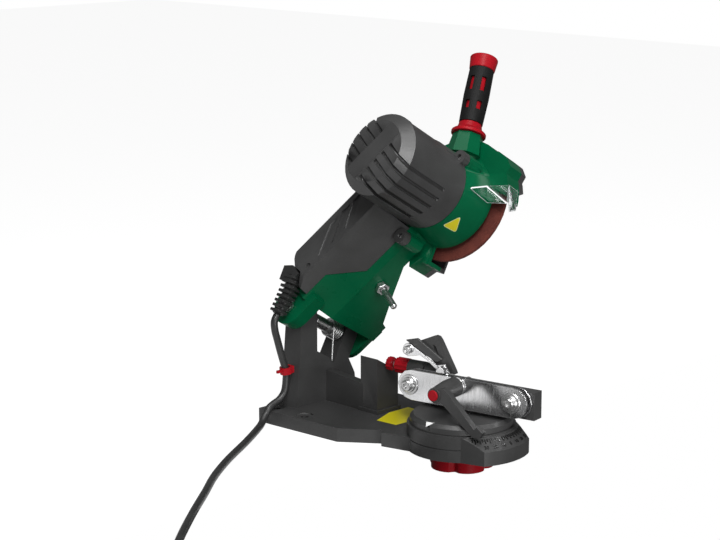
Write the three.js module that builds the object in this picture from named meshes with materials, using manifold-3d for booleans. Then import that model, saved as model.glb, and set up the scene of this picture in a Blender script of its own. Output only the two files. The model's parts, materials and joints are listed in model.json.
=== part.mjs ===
// Electric chainsaw sharpener: a bench casting with a turntable vise, and a sprung arm that carries a motor,
// its grinding wheel, guard and handle. Millimetres, +Z up, origin on the underside of the base.

import * as THREE from 'three';
import { mergeVertices } from 'three/addons/utils/BufferGeometryUtils.js';
import { ConvexGeometry } from 'three/addons/geometries/ConvexGeometry.js';
import Module from 'manifold-3d';

const wasm = await Module();
wasm.setup();

// Clearances and finish of the mesh
const gap = 0.3;
const overrun = 4;
const weld = 0.0004;
const roundSides = 44;
const mediumSides = 24;
const smallSides = 12;
const hexSides = 6;
const neckSides = 8;
const quarter = 90;
const half = 180;
const whole = 360;

// Base casting; x and y from the turntable's axis, z from the bench
const tableOffset = 110;
const plateWidth = 120;
const plateLength = 176;
const plateHeight = 12;
const plateOutlineShares = [
  [-0.582, 1], [-0.582, 0.909], [-0.54, 0.473], [-0.349, 0.302], [-0.394, 0.272], [-0.341, 0.121],
  [-0.28, -0.04], [0.28, -0.04], [0.341, 0.121], [0.394, 0.272], [0.36, 0.34], [0.418, 0.5], [0.418, 1],
];
const ringRadius = 46;
const ringHeight = 22;
const seamHeight = 10.5;
const seamDepth = 0.8;
const scaleRadius = 58;
const scaleRimHeight = 12;
const scaleRootHeight = 21;
const scaleRootRadius = 46.6;
const scaleSectorShares = [[-0.6, -0.5], [-0.484, -0.874], [-0.484, -1.2], [0.484, -1.2], [0.484, -0.874], [0.6, -0.5]];
const benchHoleRadius = 3.5;
const benchHoleShares = [[-0.475, 0.744], [0.33, 0.744], [0.33, 0.95], [-0.475, 0.95]];
const benchPadRadius = 8;
const benchPadDepth = 1.5;

// Pivot of the arm, and the column that carries it
const pivotX = 5.9;
const pivotY = 160;
const pivotZ = 72.2;
const headTilt = 30;
const columnFront = 8.5;
const columnRear = 12;
const columnTop = 9;
const columnLeft = 48.5;
const columnRight = 22.5;
const columnRootX = -47.7;
const columnShoulder = 8.6;
const columnNeck = 17.5;
const columnHipX = 24.3;
const columnHipZ = 31;
const columnHeelX = 27;
const notchLeftX = -22;
const notchLeftZ = 59;
const notchMiddleX = -6.5;
const notchMiddleZ = 50;
const notchRight = 6.6;
const notchDepth = 28;
const notchCorner = 3;
const shaftRadius = 4;
const postLeft = 11;
const postRight = 15;
const postFrontY = 88.3;
const postRearY = 108.6;
const postTallZ = 61.2;
const postShortZ = 46.2;
const postFoot = 1.8;
const postFootHeight = 3.2;
const wallThickness = 8.4;
const wallLeft = 11.4;
const wallLowZ = 36;
const wallTallZ = 40;

// Turntable and the vise on it; along, off and z from the turntable's axis on the ring
const tableRadius = 43.5;
const tableRim = 5;
const tableTop = 8;
const tableTopRadius = 40.5;
const tableAngle = -80;
const jawThickness = 2.4;
const chainSlot = 3.2;
const jawLow = 11.8;
const jawHigh = 38;
const jawLeft = 61.4;
const jawRight = 65;
const jawBoltX = 50;
const jawBoltZ = 25;
const jawBoltRadius = 3.7;
const rearJawShift = 1.2;
const viseBodyLeft = 46;
const viseBodyRight = 67.3;
const viseBodyDepth = 12;
const viseBodyLow = 10.5;
const viseBodyHigh = 34;
const pedestalLeft = 34;
const pedestalRight = 30;
const studRadius = 4;
const clampX = -3;
const clampZ = 31;

// Shoulder screws, clamp lever
const shoulderRadius = 6.2;
const shoulderHeight = 1.4;
const screwHeadRadius = 3.7;
const screwHeadHeight = 3.2;
const socketDepth = 1.8;
const socketShare = 0.5;
const hubRootRadius = 8.4;
const hubTipRadius = 5.9;
const hubRoot = 6.2;
const hubTip = 39;
const hubWaistShare = 0.35;
const capRadius = 4.6;
const capHeight = 1.6;
const leverThickness = 6;
const leverSetback = 1;
const leverReach = 48.7;
const leverDrop = 31;
const leverShares = [
  [-0.082, 0.16], [-0.1, -0.13], [0, -0.226], [0.15, -0.2], [0.765, -0.965], [0.885, -0.965], [0.955, -0.806],
  [0.842, -0.661], [0.79, -0.742], [0.287, 0.08], [0.185, 0.194],
];

// Chain stop behind the rear jaw
const stopRodOff = 16;
const stopRodZ = 34.2;
const stopRodRadius = 2.4;
const barrelRadius = 6.8;
const barrelLeft = 62;
const barrelRight = 46;
const fineKnobRadius = 7.2;
const fineKnobLeft = 75;
const endKnobRadius = 6.2;
const endKnobLeft = 84.5;
const endKnobRight = 79.3;
const knobRibs = 12;
const bracketRear = 15;
const stopTravel = 2;
const bracketFront = 9.2;
const stopSpan = 60;
const stopHeight = 34;
const stopBaseZ = 34;
const bracketShares = [
  [-1.02, 0.46], [-1.04, 0.6], [-0.97, 0.66], [-0.61, 0.94], [-0.56, 0.97], [-0.508, 0.95], [-0.47, 0.87], [-0.235, 0.14],
  [-0.22, 0.07], [-0.47, 0.07], [-0.49, 0.2], [-0.64, 0.4], [-0.82, 0.49],
];
const bracketHoleShares = [[-0.587, 0.75], [-0.538, 0.715], [-0.473, 0.456], [-0.575, 0.588]];
const pawlPivotX = 57;
const pawlPivotZ = 52.6;
const pawlPivotRadius = 1.8;
const pawlPlateFront = 4.6;
const pawlPlateThickness = 1.6;
const pawlHeadRadius = 5.6;
const pawlShares = [
  [-0.97, 0.37], [-0.83, 0.42], [-0.755, 0.456], [-0.61, 0.33], [-0.45, 0.125], [-0.26, 0.13], [-0.34, 0.33], [-0.47, 0.27],
  [-0.6, 0.385], [-0.735, 0.53], [-0.93, 0.7],
];
const pawlBarShares = [[-1.02, 0.77], [-0.82, 0.86], [-0.4, 0.42], [-0.5, 0.33], [-0.6, 0.4], [-0.755, 0.51], [-0.95, 0.7]];
const pawlBarFront = 6.4;
const pawlBarRear = 8.9;
const pawlTabShares = [[-0.43, 0.13], [-0.42, 0.2], [-0.36, 0.3], [-0.3, 0.24], [-0.29, 0.13]];

// Lock knob under the base
const lockKnobRadius = 28;
const lockKnobWaistShare = 0.8;
const lockKnobTop = 0.3;
const lockKnobHeight = 15.5;
const lockKnobLobes = 5;
const lockKnobSteps = 8;
const lockStudRadius = 5;
const lockStudHigh = 27;
const lockInsertRadius = 8;

// Arm; across (from the wheel's plane), along (from wheel to pivot) and lift (square to both)
const armReach = 159;
const armAngle = -56.4;
const armLeft = 80;
const armTop = 22;
const armRidge = 5;
const armBottom = 18;
const armKeel = 31;
const armWall = 3;
const splitLeft = 40;
const pivotRoom = 16;
const armStart = 30;
const shellTuck = 1.225;
const frameTuck = 6.79;
const shellMouthTuck = 5.2;
const shellPlanShares = [[-0.5, 0.56], [-0.82, 0.715], [-0.82, 0.868], [-0.92, 0.862], [-1, 0.79]];
const frameEdgeShare = 0.16;
const framePlanShares = [
  [-0.5, 0.565], [-0.82, 0.72], [-0.82, 0.9], [0.356, 0.9], [0.356, 0.825], [0.296, 0.8], [0.022, 0.582], [-0.16, 0.426],
];
const shellEndShares = [[0.735, 1.1], [0.775, 0.92], [0.814, 0.6], [0.8, 0.1], [0.868, -0.14], [0.868, -1.1]];
const shellMouthShare = 1.1;
const ventShares = [
  [[0.44, 0.75], [0.51, 0.75], [0.672, -0.02], [0.602, -0.02]],
  [[0.346, 0.77], [0.416, 0.77], [0.565, -0.05], [0.495, -0.05]],
  [[0.256, 0.77], [0.326, 0.77], [0.458, 0], [0.388, 0]],
];
const ventDepth = 1.8;
const shellScrewAlong = 117.8;
const leftEarInner = 49;
const leftEarOuter = 62;
const leftEarRadius = 17;
const rightEarInner = 23;
const rightEarOuter = 28.5;
const rightEarRadius = 17;
const earRootAlong = 134;
const earHalfHeight = 13;

// Wheel, flanges and the shaft that turns them
const wheelRadius = 52;
const wheelThickness = 3.2;
const wheelBore = 11.1;
const flangeRadius = 17;
const flangeThickness = 4;
const flangeRecess = 0.8;
const flangeRim = 3;
const spigotLength = 2.6;
const nutFlats = 17;
const nutThickness = 4.2;
const driveRadius = 5;
const motorShaftRadius = 4;
const threadLength = 10.5;
const collarRadius = 7.5;
const collarStart = 26.7;

// Motor housing
const housingRadius = 37;
const housingWall = 3;
const housingShoulder = 112;
const housingFace = 120;
const housingFaceShare = 0.757;
const barWidth = 15.2;
const barLift = 1.6;
const ribPitch = 9.1;
const ribWidth = 6;
const ribOffset = 0.7;
const grooveWidth = 3.1;
const grooveDepth = 2.2;
const grooveEnd = 62;
const faceGrooveDepth = 2.2;
const panelFrom = 150;
const panelTo = 177;
const panelStart = 108;
const panelEnd = 62;
const panelDepth = 1;
const bossRadius = 6.5;
const bossProud = 1.5;
const bossAngle = 187.4;
const bossLength = 8;
const lowerBossProud = 12;
const lowerBossAngle = -25.6;
const bossHoleRadius = 2.6;
const bossScrewRadius = 1.6;
const bossScrewHead = 2.2;
const bossScrewLength = 14;

// Motor parts
const statorInnerShare = 0.554;
const statorStart = 92;
const statorEnd = 60;
const airGap = 0.7;
const windingShare = 0.757;
const windingLength = 3;
const commutatorShare = 0.27;
const commutatorStart = 106;
const commutatorEnd = 96;
const fanShare = 0.757;
const fanStart = 55;
const fanEnd = 46;
const fanWeb = 1.6;
const fanHubRadius = 9;
const fanBlades = 9;
const frontBearingRadius = 11;
const frontBearingStart = 37;
const frontBearingEnd = 28;
const rearBearingRadius = 9.5;
const rearBearingStart = 114;
const rearBearingEnd = 108;
const bearingSeatWall = 3;
const brushWidth = 6;
const brushHolderWall = 2;
const brushHolderShare = 0.81;

const housingFaceRadius = housingRadius * housingFaceShare;
const bossReach = housingRadius + bossProud;
const lowerBossReach = housingRadius + lowerBossProud;
const armEnd = armReach - pivotRoom;
const shellStart = housingRadius - shellTuck;
const frameStart = housingRadius - frameTuck;
const shellMouth = housingRadius - shellMouthTuck;
const statorInner = housingRadius * statorInnerShare;
const rotorRadius = statorInner - airGap;
const windingRadius = rotorRadius * windingShare;
const fanRadius = housingRadius * fanShare;
const commutatorRadius = housingRadius * commutatorShare;
const brushHolderReach = housingRadius * brushHolderShare;

// Bell and guard
const bellMouthRadius = 42.5;
const bellMouth = 10;
const bellWall = 3;
const bellWebEnd = 35;
const guardRadius = 59;
const guardWall = 3.4;
const guardRight = 7.7;
const coverRight = 14.2;
const coverOpenFrom = 212;
const coverHubRadius = 33;
const coverWall = 2.6;
const openFrom = 226;
const openTo = 326;
const noseInner = 55;
const noseShoulder = 60.5;
const noseOuter = 63.8;
const noseFrom = 172;
const noseTo = 206;
const lugReach = 66;
const lugLeft = 14;
const lugShares = [[0.58, 0], [0.69, 0], [0.775, -0.1], [0.955, -0.35], [0.72, -0.4], [0.63, -0.38], [0.53, -0.3]];
const neckRadius = 13.4;
const neckRootRadius = 16.5;
const neckLength = 20;
const handleAcross = 15;
const handleRadius = 60.1;
const handleAngle = 142.6;
const handleLean = 135.1;

// Handle
const flangeDiscRadius = 15.5;
const flangeDiscHeight = 3;
const collarHeight = 8.5;
const collarTopRadius = 10;
const coreRadius = 8.6;
const gripLength = 51.5;
const gripRadius = 10.6;
const gripBulge = 11.4;
const capTopRadius = 12.6;
const handleLength = 75.5;
const handleBoltRadius = 3;
const handleBoltHead = 5;
const windowWidth = 4.6;
const windowShares = [[0.22, 0.37], [0.56, 0.82]];
const windowTurns = [0, 60, 120, 180, 240, 300];

// Clear eye shield
const shieldThickness = 1.6;
const shieldReach = 66;
const shieldAcross = 34;
const shieldShelfShares = [[-1, -0.56, 0.115], [-1, -0.82, 0.173], [-0.382, -0.955, 0.092], [-0.382, -0.645, 0.062]];
const shieldWingShares = [[-1, -0.82, 0.173], [-0.382, -0.955, 0.092], [-0.382, -0.885, 0.33]];
const shieldStripShares = [[-0.382, -0.885, 0.33], [-0.12, -0.94, 0.31], [-0.12, -1.02, 0.05], [-0.382, -1.045, -0.02]];
const shieldScrewRadius = 1.8;
const shieldScrewHead = 2.6;

// Switch on the arm
const switchAcross = 60;
const switchAlong = 74;
const switchWidth = 18;
const switchLength = 27;
const switchDepth = 13;
const switchFlange = 1.8;
const switchRim = 2.4;
const rockerLift = 3.4;
const rockerTurn = 7;

// Depth stop
const depthAcross = 16;
const depthAlong = 93.5;
const depthRadius = 3;
const depthReach = 29.5;
const depthInside = 12;
const depthNutFlats = 10.5;
const depthNutThickness = 5;

// Pivot hardware and the return spring
const pivotHeadFlats = 12;
const pivotHeadThickness = 3.2;
const springRadius = 7.7;
const springWire = 1.6;
const springTurns = 5;
const springPitch = 2.6;
const springStart = -8;
const sleeveRadius = 5.6;
const sleeveLeft = 28;
const sleeveRight = 6;
const springSteps = 8;
const springSides = 5;
const springLeg = 13.5;

// Strain relief, cord, its coil and plug
const reliefAcross = 72.4;
const reliefRootWidth = 12;
const reliefRootShares = [[0.8175, 0.45], [0.8145, 0.13], [0.886, 0.2], [0.93, 0.68], [0.864, 1.02], [0.82, 0.69]];
const reliefTop = 24;
const reliefBend = -5;
const reliefTopRadius = 7.2;
const reliefEndRadius = 5.8;
const reliefGroove = 1.9;
const reliefRibs = 8;
const reliefSides = 8;
const reliefEnd = 11.9;
const cordRadius = 3.2;
const cordSides = 8;
const cordSteps = 76;
const cordPoints = [
  [-61.9, 160, 75.3], [-65.1, 160, 69.8], [-64.6, 160, 62], [-61.9, 160, 53], [-57.8, 160, 40], [-54, 160, 29],
  [-52, 160, 22.5], [-51.9, 160, 15.5], [-54.2, 160, 4.5], [-59.5, 160.5, -1.4], [-65.5, 161, -4], [-71.6, 161, -6.9],
  [-76, 161, -12.4], [-83, 158, -17.6], [-96, 149.5, -18.7], [-126, 130, -18.7], [-172, 102, -18.7],
  [-206.6, 78, -18.7], [-237.4, 53, -18.7], [-280, 19, -18.7], [-330, -24, -18.7], [-370, -64, -18.7],
  [-404, -104, -18.7],
];
const coilMiddle = 35;
const coilSpacing = 7.1;
const coilLoops = 6;
const coilSteps = 24;
const coilSides = 6;
const coilTail = 8;
const plugTail = 36;
const plugLength = 34;
const plugRadius = 13.6;
const plugFace = 17;
const pinRadius = 2.4;
const pinLength = 19;
const pinSpacing = 19;
const clipZ = 46;
const clipRadius = 5.6;
const clipHeight = 6;
const clipTail = 5;

// Finishes
const darkPlastic = paint('#3f3f3f', 0.62, 0);
const darkCasting = paint('#454545', 0.6, 0);
const green = paint('#00482b', 0.35, 0);
const red = paint('#a01c22', 0.4, 0);
const black = paint('#2a2a2a', 0.7, 0);
const steel = paint('#c9c9c9', 0.28, 1);
const brightSteel = paint('#e2e2e2', 0.2, 1);
const copper = paint('#a8642f', 0.35, 1);
const iron = paint('#6e6e6e', 0.5, 1);
const carbon = paint('#1c1c1c', 0.8, 0);
const abrasive = paint('#5a2418', 0.95, 0);
const clear = paint('#e6ecec', 0.08, 0);

function paint(colour, roughness, metalness) {
  return { color: colour, roughness, metalness };
}

function radians(degrees) {
  return THREE.MathUtils.degToRad(degrees);
}

function spot(radius, degrees) {
  return [radius * Math.cos(radians(degrees)), radius * Math.sin(radians(degrees))];
}

function scaled(shares, sizeU, sizeV) {
  return shares.map(([u, v]) => [u * sizeU, v * sizeV]);
}

function shifted(points, du, dv) {
  return points.map(([u, v]) => [u + du, v + dv]);
}

// A closed geometry becomes a solid once its shared corners are merged
function solidOf(geometry) {
  const bare = geometry.clone();
  bare.deleteAttribute('normal');
  bare.deleteAttribute('uv');
  const merged = mergeVertices(bare, weld);
  const spots = merged.attributes.position;
  const corners = [];
  const a = new THREE.Vector3();
  const b = new THREE.Vector3();
  const c = new THREE.Vector3();
  let volume = 0;
  for (let i = 0; i < merged.index.count; i += 3) {
    const [p, q, r] = [0, 1, 2].map((step) => merged.index.getX(i + step));
    if (p === q || q === r || r === p) continue;
    corners.push(p, q, r);
    a.fromBufferAttribute(spots, p);
    b.fromBufferAttribute(spots, q);
    c.fromBufferAttribute(spots, r);
    volume += a.dot(b.cross(c));
  }
  if (volume < 0) corners.reverse();
  return new wasm.Manifold(new wasm.Mesh({
    numProp: 3,
    vertProperties: Float32Array.from(spots.array),
    triVerts: Uint32Array.from(corners),
  }));
}

const lying = {
  x: new THREE.Matrix4().set(0, 0, 1, 0, 1, 0, 0, 0, 0, 1, 0, 0, 0, 0, 0, 1),
  y: new THREE.Matrix4().set(1, 0, 0, 0, 0, 0, -1, 0, 0, 1, 0, 0, 0, 0, 0, 1),
  z: new THREE.Matrix4(),
};
const spun = {
  x: new THREE.Matrix4().set(0, 1, 0, 0, 0, 0, 1, 0, 1, 0, 0, 0, 0, 0, 0, 1),
  y: new THREE.Matrix4(),
  z: new THREE.Matrix4().set(0, 0, 1, 0, 1, 0, 0, 0, 0, 1, 0, 0, 0, 0, 0, 1),
};

// Outlines are (y, z) along x, (x, z) along y and (x, y) along z
function prism(points, low, high, axis = 'z') {
  const shape = new THREE.Shape(points.map(([u, v]) => new THREE.Vector2(u, v)));
  const body = new THREE.ExtrudeGeometry(shape, { depth: high - low, bevelEnabled: false, steps: 1 });
  body.translate(0, 0, axis === 'y' ? -high : low);
  body.applyMatrix4(lying[axis]);
  return solidOf(body);
}

// Profiles are (radius, place along the axis)
function turned(profile, axis = 'z', sides = roundSides) {
  const body = new THREE.LatheGeometry(profile.map(([r, h]) => new THREE.Vector2(r, h)), sides);
  body.applyMatrix4(spun[axis]);
  return solidOf(body);
}

function disc(radius, low, high, axis = 'z', sides = roundSides) {
  return turned([[0, low], [radius, low], [radius, high], [0, high]], axis, sides);
}

function ring(outer, inner, low, high, axis = 'z', sides = roundSides) {
  return turned([[inner, low], [outer, low], [outer, high], [inner, high], [inner, low]], axis, sides);
}

function block(x0, x1, y0, y1, z0, z1) {
  const body = new THREE.BoxGeometry(x1 - x0, y1 - y0, z1 - z0);
  body.translate((x0 + x1) / 2, (y0 + y1) / 2, (z0 + z1) / 2);
  return solidOf(body);
}

function hex(flats, low, high, axis) {
  return disc(flats / Math.sqrt(3), low, high, axis, hexSides);
}

function hull(points) {
  return solidOf(new ConvexGeometry(points));
}

function join(...solids) {
  return solids.reduce((sum, next) => sum.add(next));
}

function at(solid, x, y, z) {
  return solid.translate([x, y, z]);
}

function turn(solid, x, y, z) {
  return solid.rotate([x, y, z]);
}

function sector(from, to, reach) {
  const steps = Math.ceil((to - from) / quarter) * 2;
  const points = [[0, 0]];
  for (let i = 0; i <= steps; i += 1) points.push(spot(reach, from + ((to - from) * i) / steps));
  return points;
}

// A tube through ring centres, each with its own radius; closed with flat ends
function tube(centres, radii, sides, twist = 0) {
  const positions = [];
  const index = [];
  const count = centres.length;
  const tangents = centres.map((centre, i) => {
    const before = centres[Math.max(i - 1, 0)];
    const after = centres[Math.min(i + 1, count - 1)];
    return after.clone().sub(before).normalize();
  });
  const first = Math.abs(tangents[0].z) < 0.9 ? new THREE.Vector3(0, 0, 1) : new THREE.Vector3(0, 1, 0);
  let normal = first.clone().addScaledVector(tangents[0], -first.dot(tangents[0])).normalize();
  centres.forEach((centre, i) => {
    normal = normal.clone().addScaledVector(tangents[i], -normal.dot(tangents[i])).normalize();
    const binormal = tangents[i].clone().cross(normal);
    for (let s = 0; s < sides; s += 1) {
      const angle = radians((whole * s) / sides + twist);
      const point = centre.clone();
      point.addScaledVector(normal, radii[i] * Math.cos(angle));
      point.addScaledVector(binormal, radii[i] * Math.sin(angle));
      positions.push(point.x, point.y, point.z);
    }
  });
  for (let i = 0; i < count - 1; i += 1) {
    for (let s = 0; s < sides; s += 1) {
      const a = i * sides + s;
      const b = i * sides + ((s + 1) % sides);
      index.push(a, b, b + sides, a, b + sides, a + sides);
    }
  }
  const start = positions.length / 3;
  positions.push(...centres[0].toArray(), ...centres[count - 1].toArray());
  for (let s = 0; s < sides; s += 1) {
    const last = (count - 1) * sides;
    index.push(start, (s + 1) % sides, s);
    index.push(start + 1, last + s, last + ((s + 1) % sides));
  }
  const body = new THREE.BufferGeometry();
  body.setAttribute('position', new THREE.Float32BufferAttribute(positions, 3));
  body.setIndex(index);
  return solidOf(body);
}

// Least distance between stretches of a tube's centre line that lie more than a few diameters apart along it
function selfGap(centres, radius, apart) {
  let least = Infinity;
  const run = [0];
  for (let i = 1; i < centres.length; i += 1) run.push(run[i - 1] + centres[i].distanceTo(centres[i - 1]));
  const first = new THREE.Vector3();
  const line = new THREE.Line3();
  for (let i = 0; i < centres.length; i += 1) {
    for (let j = 0; j < centres.length - 1; j += 1) {
      if (Math.min(Math.abs(run[j] - run[i]), Math.abs(run[j + 1] - run[i])) < apart) continue;
      line.set(centres[j], centres[j + 1]);
      line.closestPointToPoint(centres[i], true, first);
      least = Math.min(least, first.distanceTo(centres[i]));
    }
  }
  return least - radius * 2;
}

function place(parent, name, solid, finish) {
  const mesh = solid.getMesh();
  const body = new THREE.BufferGeometry();
  body.setAttribute('position', new THREE.Float32BufferAttribute(mesh.vertProperties, 3));
  body.setIndex(Array.from(mesh.triVerts));
  body.computeVertexNormals();
  const piece = new THREE.Mesh(body, new THREE.MeshStandardMaterial(finish));
  piece.name = name;
  parent.add(piece);
  return piece;
}

function socketScrew(headRadius, headHeight, shankRadius, length, axis, sides = smallSides) {
  const socket = hex(headRadius * socketShare * 2, headHeight - socketDepth * headHeight / screwHeadHeight, headHeight + overrun, axis);
  return join(
    disc(headRadius, 0, headHeight, axis, sides),
    disc(shankRadius, -length, headHeight * socketShare, axis, sides),
  ).subtract(socket);
}

const group = new THREE.Group();

// Places in the tilted head, seen from the front: across and lift from the pivot
const tiltCos = Math.cos(radians(headTilt));
const tiltSin = Math.sin(radians(headTilt));
function atHead(across, lift) {
  return [pivotX + across * tiltCos + lift * tiltSin, pivotZ - across * tiltSin + lift * tiltCos];
}

const baseGroup = new THREE.Group();
baseGroup.position.set(0, -tableOffset, 0);
group.add(baseGroup);

function makeBase() {
  const sunk = plateHeight / 2;
  const plate = prism(scaled(plateOutlineShares, plateWidth, plateLength), 0, plateHeight);
  const drum = disc(ringRadius, 0, ringHeight);
  const groove = ring(ringRadius + overrun, ringRadius - seamDepth, seamHeight - seamDepth / 2, seamHeight + seamDepth / 2);
  const innerRadius = ringRadius - overrun;
  const fan = turned([
    [innerRadius, 0], [scaleRadius, 0], [scaleRadius, scaleRimHeight], [scaleRootRadius, scaleRootHeight],
    [innerRadius, scaleRootHeight], [innerRadius, 0],
  ]).intersect(prism(scaled(scaleSectorShares, scaleRadius, scaleRadius), -overrun, ringHeight + overrun));
  const column = prism([
    [columnRootX, sunk], [columnHeelX, sunk], [columnHipX, columnHipZ], atHead(columnRight, -columnNeck),
    atHead(columnRight, columnTop), atHead(-columnLeft, columnTop), atHead(-columnLeft, -columnShoulder),
  ], pivotY - columnFront, pivotY + columnRear, 'y');
  const notch = prism([
    [notchLeftX, notchLeftZ], [notchMiddleX, notchMiddleZ], atHead(notchRight, -notchDepth),
    atHead(notchRight, columnTop + overrun), [notchLeftX, postTallZ * 2],
  ], pivotY - columnFront - overrun, pivotY + columnRear + overrun, 'y');
  const post = prism([
    [-postLeft, sunk], [postRight, sunk], [postRight, postShortZ], [-postLeft, postTallZ],
  ], postFrontY, postRearY, 'y');
  const foot = block(
    -postLeft - postFoot, postRight + postFoot, postFrontY - postFoot, postRearY + postFoot, sunk, plateHeight + postFootHeight,
  );
  const wall = prism([
    [postRearY - overrun, sunk], [pivotY - columnFront + overrun, sunk], [pivotY - columnFront + overrun, wallTallZ],
    [pivotY - columnFront, wallTallZ], [postRearY - overrun, wallLowZ],
  ], -wallLeft, wallThickness - wallLeft, 'x');
  const bore = turn(disc(shaftRadius + gap, -armLeft, armLeft, 'x', smallSides), 0, headTilt, 0);
  let body = join(plate, drum.subtract(groove), fan, column.subtract(notch), post, foot, wall);
  body = body.subtract(at(bore, pivotX, pivotY, pivotZ));
  body = body.subtract(disc(lockStudRadius + gap, -overrun, ringHeight + overrun, 'z', mediumSides));
  for (const [x, y] of scaled(benchHoleShares, plateWidth, plateLength)) {
    body = body.subtract(at(disc(benchHoleRadius, -overrun, plateHeight + overrun, 'z', smallSides), x, y, 0));
    body = body.subtract(at(disc(benchPadRadius, plateHeight - benchPadDepth, plateHeight + overrun, 'z', smallSides), x, y, 0));
  }
  return body;
}
place(baseGroup, 'base_body', makeBase(), darkCasting);

// Lock stud and knob
const viseTurn = new THREE.Group();
viseTurn.position.set(0, -tableOffset, ringHeight);
viseTurn.rotation.z = radians(tableAngle);
group.add(viseTurn);

function makeLockKnob() {
  const outline = [];
  for (let i = 0; i < lockKnobLobes * lockKnobSteps; i += 1) {
    const turnShare = i / (lockKnobLobes * lockKnobSteps);
    const swell = Math.sqrt(Math.abs(Math.sin(radians(half * lockKnobLobes * turnShare))));
    outline.push(spot(lockKnobRadius * (lockKnobWaistShare + (1 - lockKnobWaistShare) * swell), whole * turnShare));
  }
  const low = -ringHeight - lockKnobTop - lockKnobHeight;
  const high = -ringHeight - lockKnobTop;
  return prism(outline, low, high).subtract(disc(lockInsertRadius + gap, low + lockKnobHeight / 3, high + overrun, 'z', smallSides));
}
function makeLockInsert() {
  const low = -ringHeight - lockKnobTop - lockKnobHeight * 2 / 3 + gap;
  return ring(lockInsertRadius, lockStudRadius + gap, low, -ringHeight - lockKnobTop, 'z', smallSides);
}
function makeLockStud() {
  const low = -ringHeight - lockKnobTop - lockKnobHeight * 2 / 3 + gap * 2;
  const flange = disc(lockInsertRadius, tableTop + gap - overrun, tableTop - gap, 'z', smallSides);
  return join(disc(lockStudRadius, low, tableTop - gap * 2, 'z', smallSides), flange);
}
place(viseTurn, 'lock_knob', makeLockKnob(), red);
place(viseTurn, 'lock_knob_insert', makeLockInsert(), steel);
place(viseTurn, 'lock_stud', makeLockStud(), steel);

// Turntable with the vise body on it
const jawInner = chainSlot / 2;
const bodyFront = jawInner + jawThickness + gap;
const bodyRear = bodyFront + viseBodyDepth;
function makeTurntable() {
  const plate = turned([[0, gap], [tableRadius, gap], [tableRadius, tableRim], [tableTopRadius, tableTop], [0, tableTop]]);
  const seat = disc(lockInsertRadius + gap, tableTop - overrun, tableTop + overrun, 'z', smallSides);
  const pedestal = block(-pedestalLeft, pedestalRight, bodyFront, bodyRear, tableTop - gap, viseBodyHigh - overrun);
  const body = block(-viseBodyLeft, viseBodyRight, bodyFront, bodyRear, viseBodyLow, viseBodyHigh);
  const barrelBlock = block(-barrelLeft + overrun, -barrelRight + overrun, bodyFront, stopRodOff, viseBodyHigh - overrun * 2, stopRodZ);
  const web = block(-barrelRight - overrun * 2, -viseBodyLeft + overrun, bodyFront, bodyRear, viseBodyHigh / 2, viseBodyHigh);
  const barrel = at(disc(barrelRadius, -barrelLeft, -barrelRight, 'x', mediumSides), 0, stopRodOff, stopRodZ);
  let all = join(plate.subtract(seat), pedestal, body, web, barrelBlock, barrel);
  all = all.subtract(disc(lockStudRadius + gap, -overrun, tableTop + overrun, 'z', smallSides));
  all = all.subtract(at(disc(stopRodRadius + gap, -barrelLeft - overrun, -barrelRight / 2, 'x', smallSides), 0, stopRodOff, stopRodZ));
  for (const x of [-jawBoltX, jawBoltX]) {
    all = all.subtract(at(disc(jawBoltRadius + gap, 0, bodyRear + overrun, 'y', smallSides), x, 0, jawBoltZ));
  }
  all = all.subtract(at(disc(studRadius + gap, 0, bodyRear + overrun, 'y', smallSides), clampX, 0, clampZ));
  return all;
}
place(viseTurn, 'turntable', makeTurntable(), darkPlastic);

function jawOutline(left, right) {
  const radius = (jawHigh - jawLow) / 2;
  const middle = (jawHigh + jawLow) / 2;
  const points = [];
  const steps = smallSides / 2;
  for (let i = 0; i <= steps; i += 1) {
    const [u, v] = spot(radius, -quarter + (half * i) / steps);
    points.push([right - radius + u, middle + v]);
  }
  for (let i = 0; i <= steps; i += 1) {
    const [u, v] = spot(radius, quarter + (half * i) / steps);
    points.push([-left + radius + u, middle + v]);
  }
  return points;
}
function makeJaw(shift, low, high) {
  const bolt = disc(jawBoltRadius + gap, low - overrun, high + overrun, 'y', smallSides);
  const stud = disc(studRadius + gap, low - overrun, high + overrun, 'y', smallSides);
  return prism(jawOutline(jawLeft - shift, jawRight + shift), low, high, 'y')
    .subtract(at(bolt, -jawBoltX, 0, jawBoltZ))
    .subtract(at(bolt, jawBoltX, 0, jawBoltZ))
    .subtract(at(stud, clampX, 0, clampZ));
}
const jawOuter = jawInner + jawThickness;
place(viseTurn, 'front_jaw', makeJaw(0, -jawOuter, -jawInner), brightSteel);
place(viseTurn, 'rear_jaw', makeJaw(rearJawShift, jawInner, jawOuter), steel);

function makeJawScrew(x) {
  const front = -jawOuter - gap;
  const washer = disc(shoulderRadius, front - shoulderHeight, front, 'y', mediumSides);
  const head = disc(screwHeadRadius, front - shoulderHeight - screwHeadHeight, front - shoulderHeight / 2, 'y', smallSides);
  const shank = disc(jawBoltRadius, front - shoulderHeight, bodyRear, 'y', smallSides);
  const depth = front - shoulderHeight - screwHeadHeight;
  const socket = hex(screwHeadRadius * socketShare * 2, depth - overrun, depth + socketDepth, 'y');
  return at(join(washer, head, shank).subtract(socket), x, 0, jawBoltZ);
}
place(viseTurn, 'jaw_screw_left', makeJawScrew(-jawBoltX), brightSteel);
place(viseTurn, 'jaw_screw_right', makeJawScrew(jawBoltX), brightSteel);

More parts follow.
